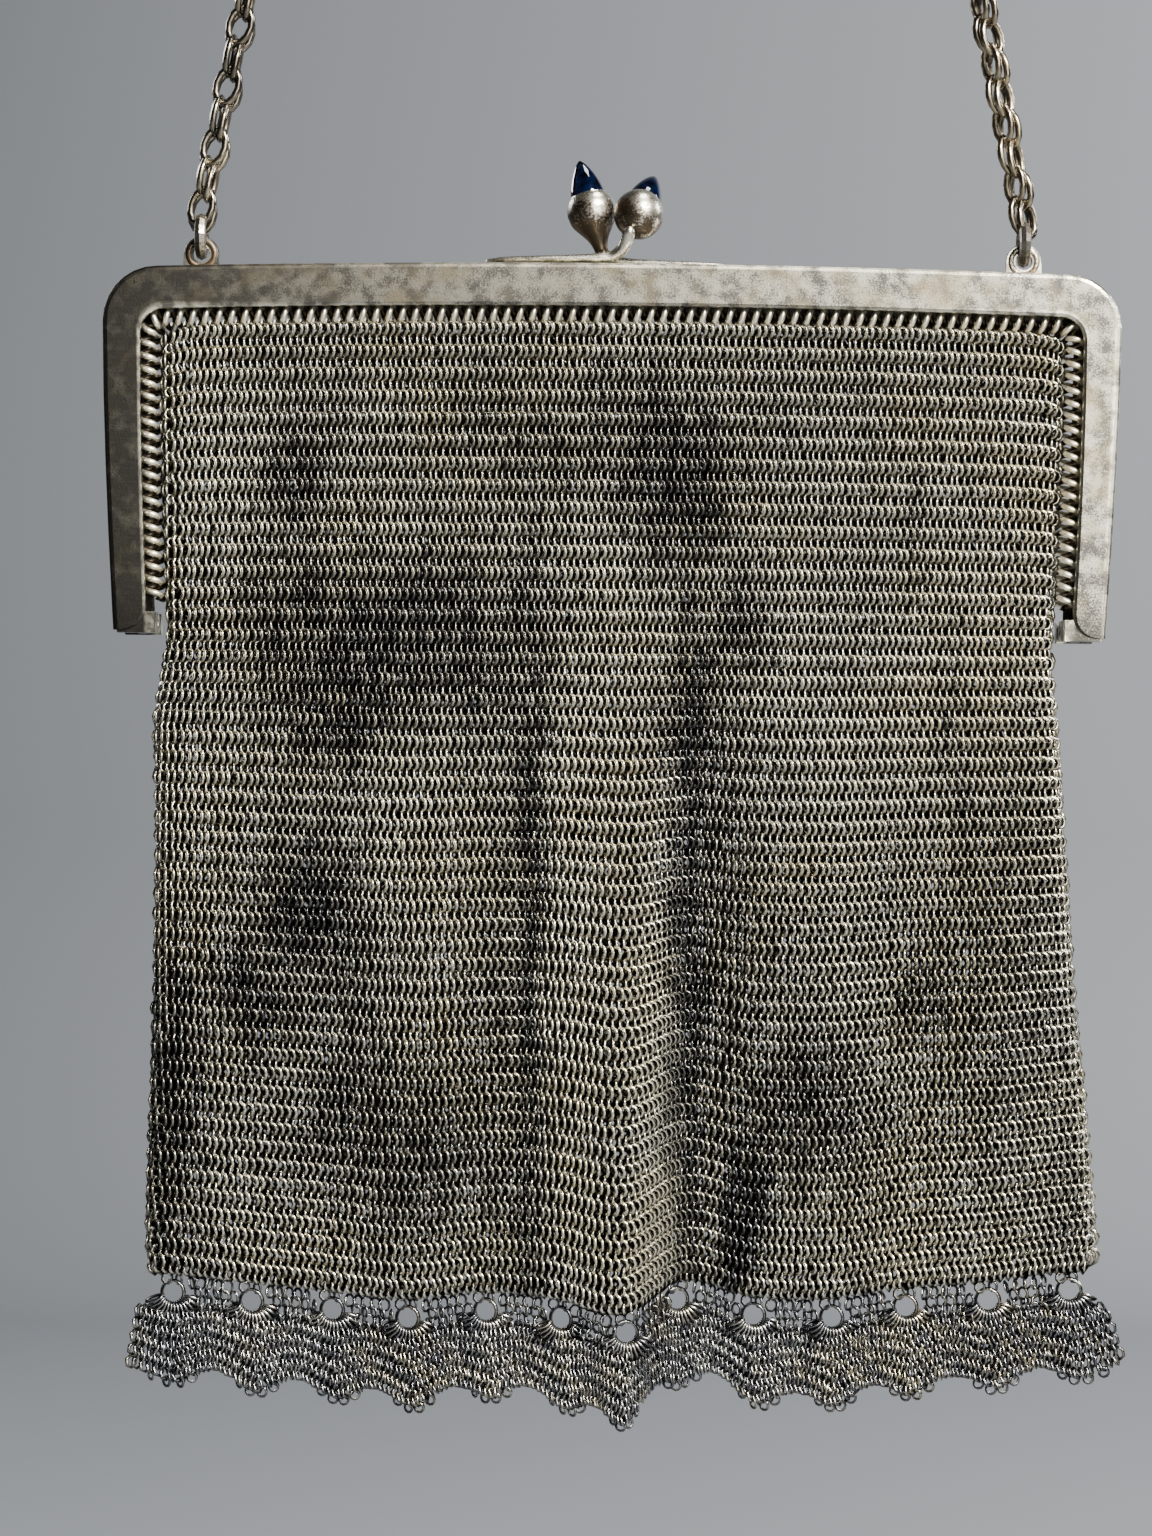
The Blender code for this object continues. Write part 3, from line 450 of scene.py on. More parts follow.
def soft_folds(x, share):
    """Sum of the folds, each a bell across the bag that eases in and out down it."""
    total = np.zeros_like(x)
    for fold in FRONT_FOLDS:
        middle, half = (fold.start + fold.end) / 2, (fold.end - fold.start) / 2
        off = (x - fold.x * HEM_HALF_WIDTH) / (fold.half_width * HEM_HALF_WIDTH)
        total += fold.forward * FOLD_DEPTH * ease(1 - abs(share - middle) / half) * np.exp(-off**2)
    return total


def bag_row(share, side, inset):
    """Line round one side of the bag at a share of its drop, from its left edge to its right:
    half width and half depth follow the bag's rows, and the two meet in a blunt oval."""
    middle = np.linspace(-0.95, 0.95, 381)
    edge = 1 - np.geomspace(0.05, 1e-9, 60)[1:]
    across = np.r_[-1, -edge[::-1], middle, edge, 1]
    top, feet = mouth_z(0.0), feet_z()
    drop = top + share * (-BAG_LENGTH - top)
    if drop > feet:
        level = (drop - top) / (feet - top)
        z = mouth_z(across) * (1 - level) + feet * level
        x = (lacing_edge(drop) - inset) * across
        lower = BAG_ROWS[0].deep * BAG_HALF_DEPTH
        deep = mouth_half_depth() + (lower - mouth_half_depth()) * ease(2 * level - 1) - inset
    else:
        down = (drop - feet) / (-BAG_LENGTH - feet)
        knots = column(BAG_ROWS, "down")
        start = lacing_edge(feet) / HEM_HALF_WIDTH
        left, right = column(BAG_ROWS, "left"), column(BAG_ROWS, "right")
        left[0] = right[0] = start
        left = np.interp(down, knots, left) * HEM_HALF_WIDTH - inset
        right = np.interp(down, knots, right) * HEM_HALF_WIDTH - inset
        x = across * np.where(across < 0, left, right)
        z = feet * (1 - down) + hem_z(x) * down
        deep = max(np.interp(down, knots, column(BAG_ROWS, "deep")) * BAG_HALF_DEPTH - inset, GAP)
    half = deep * np.maximum(1 - np.abs(across) ** SQUARENESS, 0) ** (1 / SQUARENESS)
    part = z / hem_z(x)
    y = -hem_forward(x) * ease((part - FOLD_START) / (1 - FOLD_START)) ** FOLD_DELAY
    if side < 0:
        y = y - half - soft_folds(x, part) * (half > 0)
    else:
        y = y + half
    return np.c_[x, y, z]


def bag_grid(side, rows, columns):
    """Grid of points on one side of the bag, evenly spaced along each row, with the rows a little
    closer towards the hem."""
    step = np.linspace(TOP_SPACING, LOW_SPACING, rows - 1)
    shares = FIRST_ROW + (LAST_ROW - FIRST_ROW) * np.r_[0, np.cumsum(step) / step.sum()]
    places = np.linspace(0, 1, columns)
    grid = []
    for share in shares:
        line = bag_row(share, side, WALL / 2)
        grid.append(at_lengths(line, places * run_along(line)[-1]))
    return np.array(grid)


# Meshes

def add_object(name, data):
    """New object in the scene."""
    obj = bpy.data.objects.new(name, data)
    bpy.context.scene.collection.objects.link(obj)
    return obj


def add_mesh(name, points, faces, material, marks=None):
    """Smooth mesh of quads from an array of corner points and an array of corner numbers, with
    a number at each corner for each of the named marks."""
    mesh = bpy.data.meshes.new(name)
    points = np.ascontiguousarray(points.reshape(-1, 3) + PURSE_TOP, np.float32)
    mesh.vertices.add(len(points))
    mesh.vertices.foreach_set("co", points.ravel())
    mesh.loops.add(faces.size)
    mesh.loops.foreach_set("vertex_index", faces.ravel().astype(np.int32))
    mesh.polygons.add(len(faces))
    mesh.polygons.foreach_set("loop_start", np.arange(0, faces.size, 4, dtype=np.int32))
    mesh.update(calc_edges=True)
    mesh.shade_smooth()
    for word, values in (marks or {}).items():
        mark = mesh.attributes.new(word, "FLOAT", "POINT")
        mark.data.foreach_set("value", np.ascontiguousarray(values.ravel(), np.float32))
    mesh.materials.append(material)
    return add_object(name, mesh)


def stain_and_fold_shade_at(points, stain_and_shade_spots):
    """Strength of the dark tarnish and the painted fold shade: the plain mesh's tarnish and its streaks
    down the columns, or the strongest of the table's soft oval spots, less the spots below zero, which
    are painted highlights on the fold ridges. Places are first shifted by sums of sines, which makes the
    spots' edges wander."""
    across = points[..., 0] / HEM_HALF_WIDTH
    down = -points[..., 2] / BAG_LENGTH
    streak = np.interp(across, np.linspace(-1.1, 1.1, len(STREAKS)), STREAKS)
    total = PLAIN_TARNISH + STREAK_STRENGTH * streak
    sideways = 0.008 * np.sin(31 * down + 9 * across) + 0.006 * np.sin(83 * down - 40 * across)
    downward = 0.016 * np.sin(19 * across + 7 * down) + 0.010 * np.sin(57 * across + 21 * down)
    across, down = across + sideways, down + downward
    painted_highlight = np.zeros(across.shape)
    for spot in stain_and_shade_spots:
        off = (((across - spot.across) / spot.half_width) ** 2
               + ((down - spot.down) / spot.half_height) ** 2)
        here = spot.strength * np.exp(-0.5 * off ** 1.2)
        total = np.maximum(total, here)
        painted_highlight = np.minimum(painted_highlight, here)
    return total + painted_highlight


def ring_marks(points, centre, outward, down, reach, stain_and_shade_spots, both_faces=False):
    """Polish and painted light of each ring's wire: highest where it stands out of the sheet, partly real
    rubbing and partly painted highlight, a little more above its middle as a painted highlight from
    above, and lowest on the half inside the sheet as painted shade; also the stain and, on the front, the
    painted fold shade where the ring lies. On the fringe the mark is high on both faces, and the fringe
    is darker all over, in slanting waves."""
    reach = np.broadcast_to(reach, len(centre))[:, None, None, None]
    from_middle = (points - centre[:, None, None]) / reach
    depth = (from_middle * (outward - 0.28 * down)[:, None, None]).sum(-1)
    stain = stain_and_fold_shade_at(centre, stain_and_shade_spots) + chance.normal(0, UNEVEN_TARNISH, len(centre))
    if both_faces:
        depth = np.maximum(depth, -0.7 * depth)
        turn = centre[:, 0] / FRINGE_WAVE_WIDTH + centre[:, 2] / FRINGE_WAVE_HEIGHT
        stain += FRINGE_TARNISH + FRINGE_WAVE_STRENGTH * ease(0.5 + 0.9 * np.sin(2 * math.pi * turn))
    # Painted shade on each wire's inner half, painted highlight on its outer and upper half
    return {"polish": ease(-0.22 + 1.3 * depth),
            "stain": np.broadcast_to(stain[:, None, None], depth.shape)}


def tube_faces(count, steps, sides, closed=True):
    """Corner numbers of count tubes, each a grid of steps along by sides round."""
    index = np.arange(count * steps * sides).reshape(count, steps, sides)
    ahead = np.roll(index, -1, axis=1)
    if not closed:
        index, ahead = index[:, :-1], ahead[:, :-1]
    return np.stack([index, ahead, np.roll(ahead, -1, 2), np.roll(index, -1, 2)], -1).reshape(-1, 4)


def capped_faces(steps, sides):
    """Corner numbers of one tube with a flat face of quads across each end."""
    k = np.arange(sides // 2 - 1)
    end = np.stack([k, k + 1, sides - 2 - k, sides - 1 - k], -1)
    return np.concatenate([tube_faces(1, steps, sides, closed=False), end,
                           end[:, ::-1] + (steps - 1) * sides])


def even(steps, start=0.0):
    """Angles of even steps round a circle."""
    return start + 2 * math.pi * np.arange(steps) / steps


def ring_points(centre, along, down, short, long, wire, turns, sides):
    """Wire rings, one for each centre. The wire's middle follows an ellipse,
    centre + short * cos(a) * along + long * sin(a) * down, and its surface lies one wire
    radius from there, all round from the ellipse's outward direction to the ring's axis."""
    a = turns[None, :, None]
    b = even(sides)[None, None, :, None]
    sizes = (np.broadcast_to(one, len(centre))[:, None, None] for one in (short, long, wire))
    short, long, wire = sizes
    along, down = along[:, None], down[:, None]
    middle = centre[:, None] + short * np.cos(a) * along + long * np.sin(a) * down
    out = unit(long * np.cos(a) * along + short * np.sin(a) * down)[:, :, None]
    axis = np.cross(along, down)[:, :, None]
    return middle[:, :, None] + wire[..., None] * (np.cos(b) * out + np.sin(b) * axis)


def square_to(way, axis):
    """Part of each direction that is at right angles to its axis, of length one."""
    return unit(way - (way * axis).sum(-1, keepdims=True) * axis)


def leaning(across, down, outward, lean):
    """Direction across a ring that leans out of the sheet by the angle, about its own down."""
    across = square_to(across, down)
    lean = np.asarray(lean)[..., None]
    return across * np.cos(lean) + outward * np.sin(lean)


def sheet_rings(grid, side):
    """Centres, directions and sizes of the rings on a grid: rows shift by half a step in turn and
    lean to the left and to the right in turn, so each ring passes through two above and two below."""
    rows, columns = grid.shape[:2]
    tangent = unit(np.gradient(grid, axis=1))
    down = unit(np.gradient(grid, axis=0))
    outward = unit(np.cross(down, tangent)) * (-side)
    centre = grid.copy()
    centre[1::2, :-1] = (grid[1::2, :-1] + grid[1::2, 1:]) / 2
    kind = np.array(ROW_KINDS)[np.arange(rows) % 2].T[..., None]
    fall = np.linspace(0, 1, rows)[:, None]
    sign = np.where(np.arange(rows) % 2 == 0, 1.0, -1.0)[:, None, None]
    lean = kind[2] + (kind[3] - kind[2]) * fall + chance.normal(0, 0.06, (rows, columns))
    roll = chance.normal(0, 0.035, (rows, columns, 1))
    down = unit(down + roll * tangent)
    centre = centre + chance.normal(0, 0.00005, centre.shape)
    along = leaning(tangent * sign, down, outward, lean)
    centre = centre + outward * kind[1][..., None]
    size = np.broadcast_to(kind[0], (rows, columns))
    keep = np.ones((rows, columns), bool)
    keep[1::2, -1] = False
    return (centre, along, down, outward, size, size * np.sin(lean)), keep


def add_sheet(name, side, rows, columns, ring, wire, bands, material):
    """One side of the ring mesh, in bands of rows."""
    # The front adds painted shade in its fold valleys and painted highlights on the ridges
    stain_and_shade_spots = STAINS + FOLD_SHADE_AND_HIGHLIGHTS if side < 0 else STAINS
    rings, keep = sheet_rings(bag_grid(side, rows, columns), side)
    pieces = []
    edges = np.linspace(0, rows, bands + 1).astype(int)
    for number, (first, last) in enumerate(zip(edges, edges[1:])):
        kept = keep[first:last]
        centre, along, down, outward, size, reach = (part[first:last][kept] for part in rings)
        points = ring_points(centre, along, down, ring * size, ring * size, wire, RING_TURNS, 3)
        marks = ring_marks(points, centre, outward, down, ring * reach, stain_and_shade_spots)
        faces = tube_faces(len(centre), len(RING_TURNS), 3)
        pieces.append(add_mesh(f"{name}_{number + 1}", points, faces, material, marks))
    return pieces


# Lacing and chain

def with_mirror(x, y, z):
    """Left half of a line at one depth, up to x = 0, and its mirror image."""
    return np.c_[np.r_[x, -x[-2::-1]], np.full(2 * len(x) - 1, y), np.r_[z, z[-2::-1]]]


def lacing_line(side):
    """Line of the lacing: up the left leg, round the corner, along the bar and down again."""
    top = -TOP_RISE - BAR_HEIGHT - INNER_CORNER
    leg_z = np.linspace(-LACING_FOOT, top, 60)
    leg_x = -(leg_outer(leg_z) - leg_width(leg_z) - LACING_INSET)
    turn = np.linspace(0, math.pi / 2, 12)[1:-1]
    radius = INNER_CORNER - LACING_INSET
    centre = -(FRAME_WIDTH / 2 - LEG_WIDTH - INNER_CORNER)
    arc_x = centre - radius * np.cos(turn)
    arc_z = top + radius * np.sin(turn)
    bar = np.linspace(centre, 0, 60)
    x = np.r_[leg_x, arc_x, bar]
    z = np.r_[leg_z, arc_z, top_edge(bar) - BAR_HEIGHT - LACING_INSET]
    return with_mirror(x, side * (JAW_DEPTH - SHEET - GAP - LACING_RADIUS), z)


def along_line(line, places):
    """Points at the given lengths along a line, and the line's directions there."""
    points = at_lengths(line, places)
    return points, unit(np.gradient(points, axis=0))


def add_coil(name, side, material):
    """Wire coil: its middle turns round the lacing's line at a fixed radius and pitch, and its
    surface lies one wire radius from there. It is pale where it stands out of the purse and darker on its
    inner half, as painted shade behind the frame's lip."""
    line = lacing_line(side)
    length = run_along(line)[-1]
    turns = round(length / COIL_PITCH)
    steps = COIL_STEPS * turns
    centre, ahead = along_line(line, np.linspace(0, length, steps + 1))
    angle = 2 * math.pi * turns * np.linspace(0, 1, steps + 1)[:, None]
    front = np.array([0.0, 1.0, 0.0])
    up = unit(np.cross(ahead, front))
    middle = centre + COIL_RADIUS * (np.cos(angle) * front * -side - np.sin(angle) * up)
    way = unit(np.gradient(middle, axis=0))
    out = square_to(middle - centre, way)
    other = np.cross(out, way)
    b = even(4)[None, :, None]
    wire = COIL_WIRE * np.clip(np.minimum(np.arange(steps + 1), np.arange(steps, -1, -1)), 0.02, 1)
    around = np.cos(b) * out[:, None] + np.sin(b) * other[:, None]
    points = middle[:, None] + wire[:, None, None] * around
    depth = side * (points[..., 1] - centre[:, None, 1]) / COIL_RADIUS
    # Painted shade on the coil's inner half, away from the front
    marks = {"polish": ease(0.55 + 1.3 * depth), "stain": np.zeros(depth.shape)}
    return add_mesh(name, points, capped_faces(steps + 1, 4), material, marks)


def chain_line():
    """Line of the chain: straight and leaning from each jump ring, then one smooth bend."""
    t = np.linspace(0, 1, 401)
    heading = CHAIN_LEAN + (math.pi / 2 - CHAIN_LEAN) * (1 - np.cos(math.pi * t / 2))
    middle = (heading[1:] + heading[:-1]) / 2
    step = CHAIN_BEND * np.diff(t)
    bend_x = np.r_[0, np.cumsum(step * np.sin(middle))]
    bend_z = np.r_[0, np.cumsum(step * np.cos(middle))]
    straight = (LUG_X - bend_x[-1]) / math.sin(CHAIN_LEAN)
    start_z = LUG_HOLE_Z + RING_RADIUS + RING_RADIUS + RING_WIRE + GAP
    joint_z = start_z + straight * math.cos(CHAIN_LEAN)
    x = np.r_[-LUG_X, bend_x - bend_x[-1]]
    z = np.r_[start_z, joint_z + bend_z]
    return with_mirror(x, LUG_Y, z)


def add_chain(material):
    """Pairs of oval links along the chain's line, each pair turned a quarter from the last, the
    two links of a pair side by side and spread a little."""
    line = chain_line()
    length = run_along(line)[-1]
    count = 2 * round((length / LINK_PITCH - 1) / 2) + 1
    centre, ahead = along_line(line, np.linspace(CHAIN_END, length - CHAIN_END, count))
    front = np.broadcast_to([0.0, -1.0, 0.0], ahead.shape)
    side = np.cross(ahead, front)
    share = np.linspace(0, 1, count)
    twist = FIRST_TWIST + WHOLE_TWIST * share + np.where(np.arange(count) % 2, math.pi / 2, 0)
    twist = (twist + chance.normal(0, 0.07, count))[:, None]
    flat = side * np.cos(twist) + front * np.sin(twist)
    face = front * np.cos(twist) - side * np.sin(twist)
    rings = []
    for hand in (-1, 1):
        spread = hand * LINK_SPREAD
        lean = chance.normal(0, 0.05, (count, 1)) + hand * LINK_LEAN
        across = unit(flat * math.cos(spread) + face * math.sin(spread))
        down = unit(ahead + lean * across)
        across = square_to(across, down)
        place = centre + face * hand * LINK_WIRE * 1.05 + ahead * hand * LINK_SLIP
        rings.append(ring_points(place, across, down, LINK_SHORT, LINK_LONG, LINK_WIRE, even(12), 5))
    points = np.concatenate(rings)
    middle = np.tile(centre, (2, 1))[:, None, None]
    far = np.linalg.norm(points - middle, axis=-1) / LINK_LONG
    marks = {"polish": ease(1.9 * far - 0.75),
             "stain": np.broadcast_to(0.25 + chance.normal(0, 0.15, (len(points), 1, 1)), far.shape)}
    return add_mesh("chain_links", points, tube_faces(len(points), 12, 5), material, marks)


# Fringe

def fringe_point(phase, down):
    """Point of the fringe: phase runs from scallop to scallop, down from the hem to the edge."""
    marks = np.arange(len(SCALLOPS))
    past = phase - np.clip(phase, 0, marks[-1])
    top_x = HEM_HALF_WIDTH * np.interp(phase, marks, column(SCALLOPS, "ring_x")) + past * END_STEP
    low_x = (HEM_HALF_WIDTH * np.interp(phase, marks, column(SCALLOPS, "low_x"))
             + past * (END_STEP + FRINGE_FLARE))
    top_z = hem_z(top_x) - FRINGE_FIT
    low_z = (hem_z(top_x) - FRINGE_HEIGHT * smooth_through(phase, marks, column(SCALLOPS, "length"))
             + SCALLOP_RISE * np.abs(np.sin(math.pi * phase)) ** SCALLOP_POINT)
    x = top_x * (1 - down) + low_x * down
    y = -hem_forward(top_x) - RIPPLE * np.cos(2 * math.pi * phase) * down
    z = top_z * (1 - down) + low_z * down
    return np.stack([x, y, z], -1)


def add_fringe(material):
    """Rings of the fringe: large rings under the hem, open rings between them, a fan of long
    rings round each, dense rows below and round rings along the scallops' lower edge."""
    out = []

    def place(phase, down, lean, ring, steps=6, roll=0.0):
        """Rings at points of the fringe, leaning out of it and rolled in it."""
        phase, down, lean = (1.0 * part for part in np.broadcast_arrays(phase, down, lean))
        point = fringe_point(phase, down)
        below = unit(fringe_point(phase, down + 0.02) - fringe_point(phase, down - 0.02))
        across = unit(fringe_point(phase + 0.02, down) - fringe_point(phase - 0.02, down))
        outward = unit(np.cross(below, across))
        below = unit(below + np.asarray(roll)[..., None] * across)
        along = leaning(across, below, outward, lean)
        points = ring_points(point, along, below, *ring, even(steps, 0.5), 3)
        reach = ring.short * np.sin(np.abs(lean) + 0.15)
        out.append((points, steps, ring_marks(points, point, outward, below, reach, STAINS, True)))

    # dense rows
    phases = np.arange(FIRST_PHASE + 0.02, LAST_PHASE, 1 / DENSE_PER_SCALLOP)
    for number, down in enumerate(DENSE_DOWN):
        shift = 0.5 / DENSE_PER_SCALLOP if number % 2 else 0.0
        phase = phases + shift + chance.normal(0, 0.004, len(phases))
        sign = 1 if number % 2 else -1
        lean = sign * DENSE_LEAN + chance.normal(0, 0.15, len(phase))
        level = down + chance.normal(0, 0.006, len(phase))
        roll = chance.normal(0, 0.15, len(phase)) - 0.25 * sign
        place(phase, level, lean, DENSE_RINGS[number % 2], roll=roll)
    # open rings between the large ones
    marks = np.arange(len(SCALLOPS))
    for number, down in enumerate(OPEN_DOWN):
        shift = 0.05 if number % 2 else -0.03
        spots = (marks[:-1, None] + OPEN_PHASES + shift).ravel()
        lean = (1 if number % 2 else -1) * OPEN_LEAN + chance.normal(0, 0.25, len(spots))
        roll = chance.normal(0, 0.15, len(spots))
        place(spots, down, lean, OPEN_RING, steps=8, roll=roll)
    # two small rings over each large one
    for offset in SMALL_PHASES:
        place(marks + offset, 0.03, 0.3 + offset * 5, SMALL_RING, steps=8)
    # large rings
    level = LARGE_RING_DROP / FRINGE_HEIGHT
    place(marks, level, 0.25, LARGE_RING, steps=24)
    # fan of long rings on each large one
    middle = fringe_point(marks, level)
    outward = np.broadcast_to([0.0, -1.0, 0.0], middle.shape)
    for angle in FAN_ANGLES:
        down = np.broadcast_to([math.sin(angle), 0.0, -math.cos(angle)], middle.shape)
        across = np.broadcast_to([math.cos(angle), 0.0, math.sin(angle)], middle.shape)
        along = leaning(across, down, outward, FAN_LEAN)
        centre = middle + down * FAN_REACH
        points = ring_points(centre, along, down, *FAN_RING, even(8, 0.4), 3)
        out.append((points, 8, ring_marks(points, centre, outward, down, FAN_DEPTH, STAINS, True)))
    # round rings along the lower edge
    low = np.concatenate([marks + step for step in LOW_PHASES])
    lean = 0.3 + chance.normal(0, 0.25, len(low))
    place(low, 1.035, lean, LOW_RING, steps=10)
    total, faces, base = [], [], 0
    for points, steps, _ in out:
        total.append(points.reshape(-1, 3))
        faces.append(tube_faces(len(points), steps, 3) + base)
        base += len(total[-1])
    marks = {word: np.concatenate([one[2][word].ravel() for one in out]) for word in out[0][2]}
    return add_mesh("fringe_rings", np.concatenate(total), np.concatenate(faces), material, marks)


# Clasp

def turned(profile, centre, axis, steps=40):
    """Surface of a profile of radius and height turned round an axis."""
    axis = unit(np.array(axis, float))
    first = unit(np.cross(axis, [0.0, 1.0, 0.3]))
    second = np.cross(first, axis)
    a = even(steps)
    radius, height = np.asarray(profile, float).T
    ring = np.cos(a)[:, None] * first + np.sin(a)[:, None] * second
    points = np.array(centre) + radius[:, None, None] * ring + height[:, None, None] * axis
    return points, capped_faces(len(radius), steps)


def knob_surface(knob, pear):
    """Ball open round the stone's seat: a sphere's profile, or for the back one a curve through
    the pear's rows below its middle, then a thin rounded rim and the floor."""
    start = math.asin(SEAT_RADIUS / BALL_RADIUS)
    bow = np.linspace(math.pi / 2 if pear else math.pi - 0.001, start, 26)
    profile = [(BALL_RADIUS * math.sin(a), BALL_RADIUS * math.cos(a)) for a in bow]
    if pear:
        height = np.linspace(PEAR_ROWS[0].height, -0.04, 30)
        radius = smooth_through(height, column(PEAR_ROWS, "height"), column(PEAR_ROWS, "radius"))
        below = [(TIP, height[0] * BALL_RADIUS)]
        profile = below + [(BALL_RADIUS * r, BALL_RADIUS * h) for r, h in zip(radius, height)] + profile
    rim = profile[-1][1]
    profile += [(SEAT_RADIUS - 0.00002, rim + 0.00012), (SEAT_RADIUS - 0.00008, rim + 0.00014),
                (STONE_RADIUS - 0.00004, rim + 0.00004), (STONE_RADIUS - 0.00006, SEAT_AT),
                (TIP, SEAT_AT)]
    return turned(profile, knob[:3], knob.axis)


def arm_surface(knob, hand, side, pear):
    """Arm of oval sections along a smooth line from the strip's tip, up to the ball."""
    wide = column(ARM_ROWS, "half_width") * ARM_HALF_WIDTH
    high = column(ARM_ROWS, "half_height") * ARM_HALF_HEIGHT
    reach = column(ARM_ROWS, "reach" if pear else "front_reach")
    forward = 0.0 if pear else ARM_FORWARD * column(ARM_ROWS, "forward")
    seat = GAP + high
    x = abs(knob.x) * reach - STRIP_LENGTH * column(ARM_ROWS, "back")
    z = seat + (knob.z - seat) * column(ARM_ROWS, "climb")
    y = side * STRIP_Y + (knob.y - side * STRIP_Y) * column(ARM_ROWS, "climb") - forward
    mark = np.r_[0, np.cumsum(np.hypot(np.diff(x), np.diff(z)))]
    fine = np.linspace(0, mark[-1], 70)
    x, y, z, wide, high = (smooth_through(fine, mark, v) for v in (x, y, z, wide, high))
    line = np.c_[hand * x, y, z]
    way = unit(np.gradient(line, axis=0))
    front = np.array([0.0, 1.0, 0.0])
    up = unit(np.cross(front, way))
    wide[0] = high[0] = TIP
    a = even(18)[None, :, None]
    oval = wide[:, None, None] * np.cos(a) * front + high[:, None, None] * np.sin(a) * up[:, None]
    return line[:, None] + oval, capped_faces(len(fine), 18)


def add_clasp(name, knob, hand, side, pear, material):
    """Ball and arm as one piece, rubbed bright on the arm, with a painted highlight on the ball's upper
    right and painted shade on its lower left.
    """
    ball, ball_faces = knob_surface(knob, pear)
    arm, arm_faces = arm_surface(knob, hand, side, pear)
    ball, arm = ball.reshape(-1, 3), arm.reshape(-1, 3)
    points = np.concatenate([ball, arm])
    # Painted highlight on the ball's upper right, fading to painted shade on its lower left
    painted_highlight = 0.5 + (ball[:, 2] - knob.z + 0.5 * (ball[:, 0] - knob.x)) / (2 * BALL_RADIUS)
    marks = {"polish": np.r_[np.clip(painted_highlight, 0, 1), np.full(len(arm), 0.9)]}
    return add_mesh(name, points, np.concatenate([ball_faces, arm_faces + len(ball)]), material, marks)


def add_stone(name, knob, material):
    """Pointed stone: a turned profile, radius * (1 - share ** 1.5) ** 0.72 up to its tip."""
    share = 1 - np.linspace(1, 0, 26) ** 1.7
    profile = np.c_[STONE_RADIUS * (1 - share**1.5) ** 0.72, STONE_HEIGHT * share]
    profile = np.r_[[[TIP, 0.0]], profile]
    profile[-1, 0] = TIP
    profile[:, 1] += SEAT_AT + GAP / 2
    points, faces = turned(profile, knob[:3], knob.axis)
    return add_mesh(name, points, faces, material)


def add_eye(name, hand, material):
    """Rounded eye that holds a jump ring: a ring of thick wire round the lug's hole."""
    centre = np.array([[hand * LUG_X, LUG_Y, LUG_HOLE_Z]])
    points = ring_points(centre, np.array([[1.0, 0.0, 0.0]]), np.array([[0.0, 0.0, -1.0]]),
                         EYE_RADIUS, EYE_RADIUS, EYE_WIRE, even(32), 14)
    marks = {"polish": 0.35 + 0.15 * hand + np.zeros(points.shape[:-1])}
    return add_mesh(name, points, tube_faces(1, 32, 14), material, marks)


# Materials

class Finish:
    """A material whose nodes are made and joined in short calls."""

    def __init__(self, name):
        self.material = bpy.data.materials.new(name)
        self.material.use_nodes = True
        self.tree = self.material.node_tree
        self.shader = self.tree.nodes["Principled BSDF"]
        self.place = self.node("ShaderNodeTexCoord").outputs["Object"]

    def node(self, kind, **values):
        """New node with the given settings."""
        made = self.tree.nodes.new(kind)
        for key, value in values.items():
            setattr(made, key, value)
        return made

    def put(self, value, target):
        """Set an input to a number or a colour, or link an output to it."""
        if isinstance(value, tuple):
            target.default_value = (*value, 1.0)
        elif isinstance(value, float):
            target.default_value = value
        else:
            self.tree.links.new(value, target)

    def paint(self, word, value):
        """Put a value into the shader."""
        self.put(value, self.shader.inputs[word])

    def axis(self, letter):
        """The object's own coordinate, measured from the purse's top edge."""
        parts = self.node("ShaderNodeSeparateXYZ")
        self.put(self.place, parts.inputs[0])
        return self.calc("SUBTRACT", parts.outputs[letter], float(PURSE_TOP["XYZ".index(letter)]))

    def noise(self, scale, detail=3.0, stretch=None):
        """Soft noise of a scale, or stretched along the axes."""
        made = self.node("ShaderNodeTexNoise")
        self.put(scale, made.inputs["Scale"])
        self.put(detail, made.inputs["Detail"])
        place = self.place
        if stretch:
            turn = self.node("ShaderNodeMapping")
            turn.inputs["Scale"].default_value = stretch
            self.put(place, turn.inputs["Vector"])
            place = turn.outputs["Vector"]
        self.put(place, made.inputs["Vector"])
        return made.outputs["Fac"]

    def ramp(self, source, stops):
        """Colours between stops of place and colour."""
        made = self.node("ShaderNodeValToRGB")
        elements = made.color_ramp.elements
        for spot, (place, colour) in enumerate(stops):
            one = elements[spot] if spot < 2 else elements.new(place)
            one.position = place
            one.color = (*colour, 1.0)
        self.put(source, made.inputs["Fac"])
        return made.outputs["Color"]

    def scale(self, source, low, high, start=0.0, end=1.0):
        """Straight line from low at the start to high at the end, level beyond them."""
        made = self.node("ShaderNodeMapRange")
        for key, value in (("From Min", start), ("From Max", end), ("To Min", low), ("To Max", high)):
            made.inputs[key].default_value = value
        self.put(source, made.inputs["Value"])
        return made.outputs["Result"]

    def mix(self, share, first, second):
        """First colour where the share is 0, second where it is 1."""
        made = self.node("ShaderNodeMix", data_type="RGBA")
        for key, value in ((0, share), (6, first), (7, second)):
            self.put(value, made.inputs[key])
        return made.outputs[2]

    def calc(self, kind, *values):
        """Result of one kind of sum on numbers or outputs."""
        made = self.node("ShaderNodeMath", operation=kind)
        for spot, value in enumerate(values):
            self.put(value, made.inputs[spot])
        return made.outputs[0]

    def mark(self, word):
        """A mark stored at the mesh's corners."""
        return self.node("ShaderNodeAttribute", attribute_name=word).outputs["Fac"]

    def bump(self, source, strength, distance):
        """Normal tilted by the slope of a height."""
        made = self.node("ShaderNodeBump")
        self.put(strength, made.inputs["Strength"])
        self.put(distance, made.inputs["Distance"])
        self.put(source, made.inputs["Height"])
        return made.outputs["Normal"]


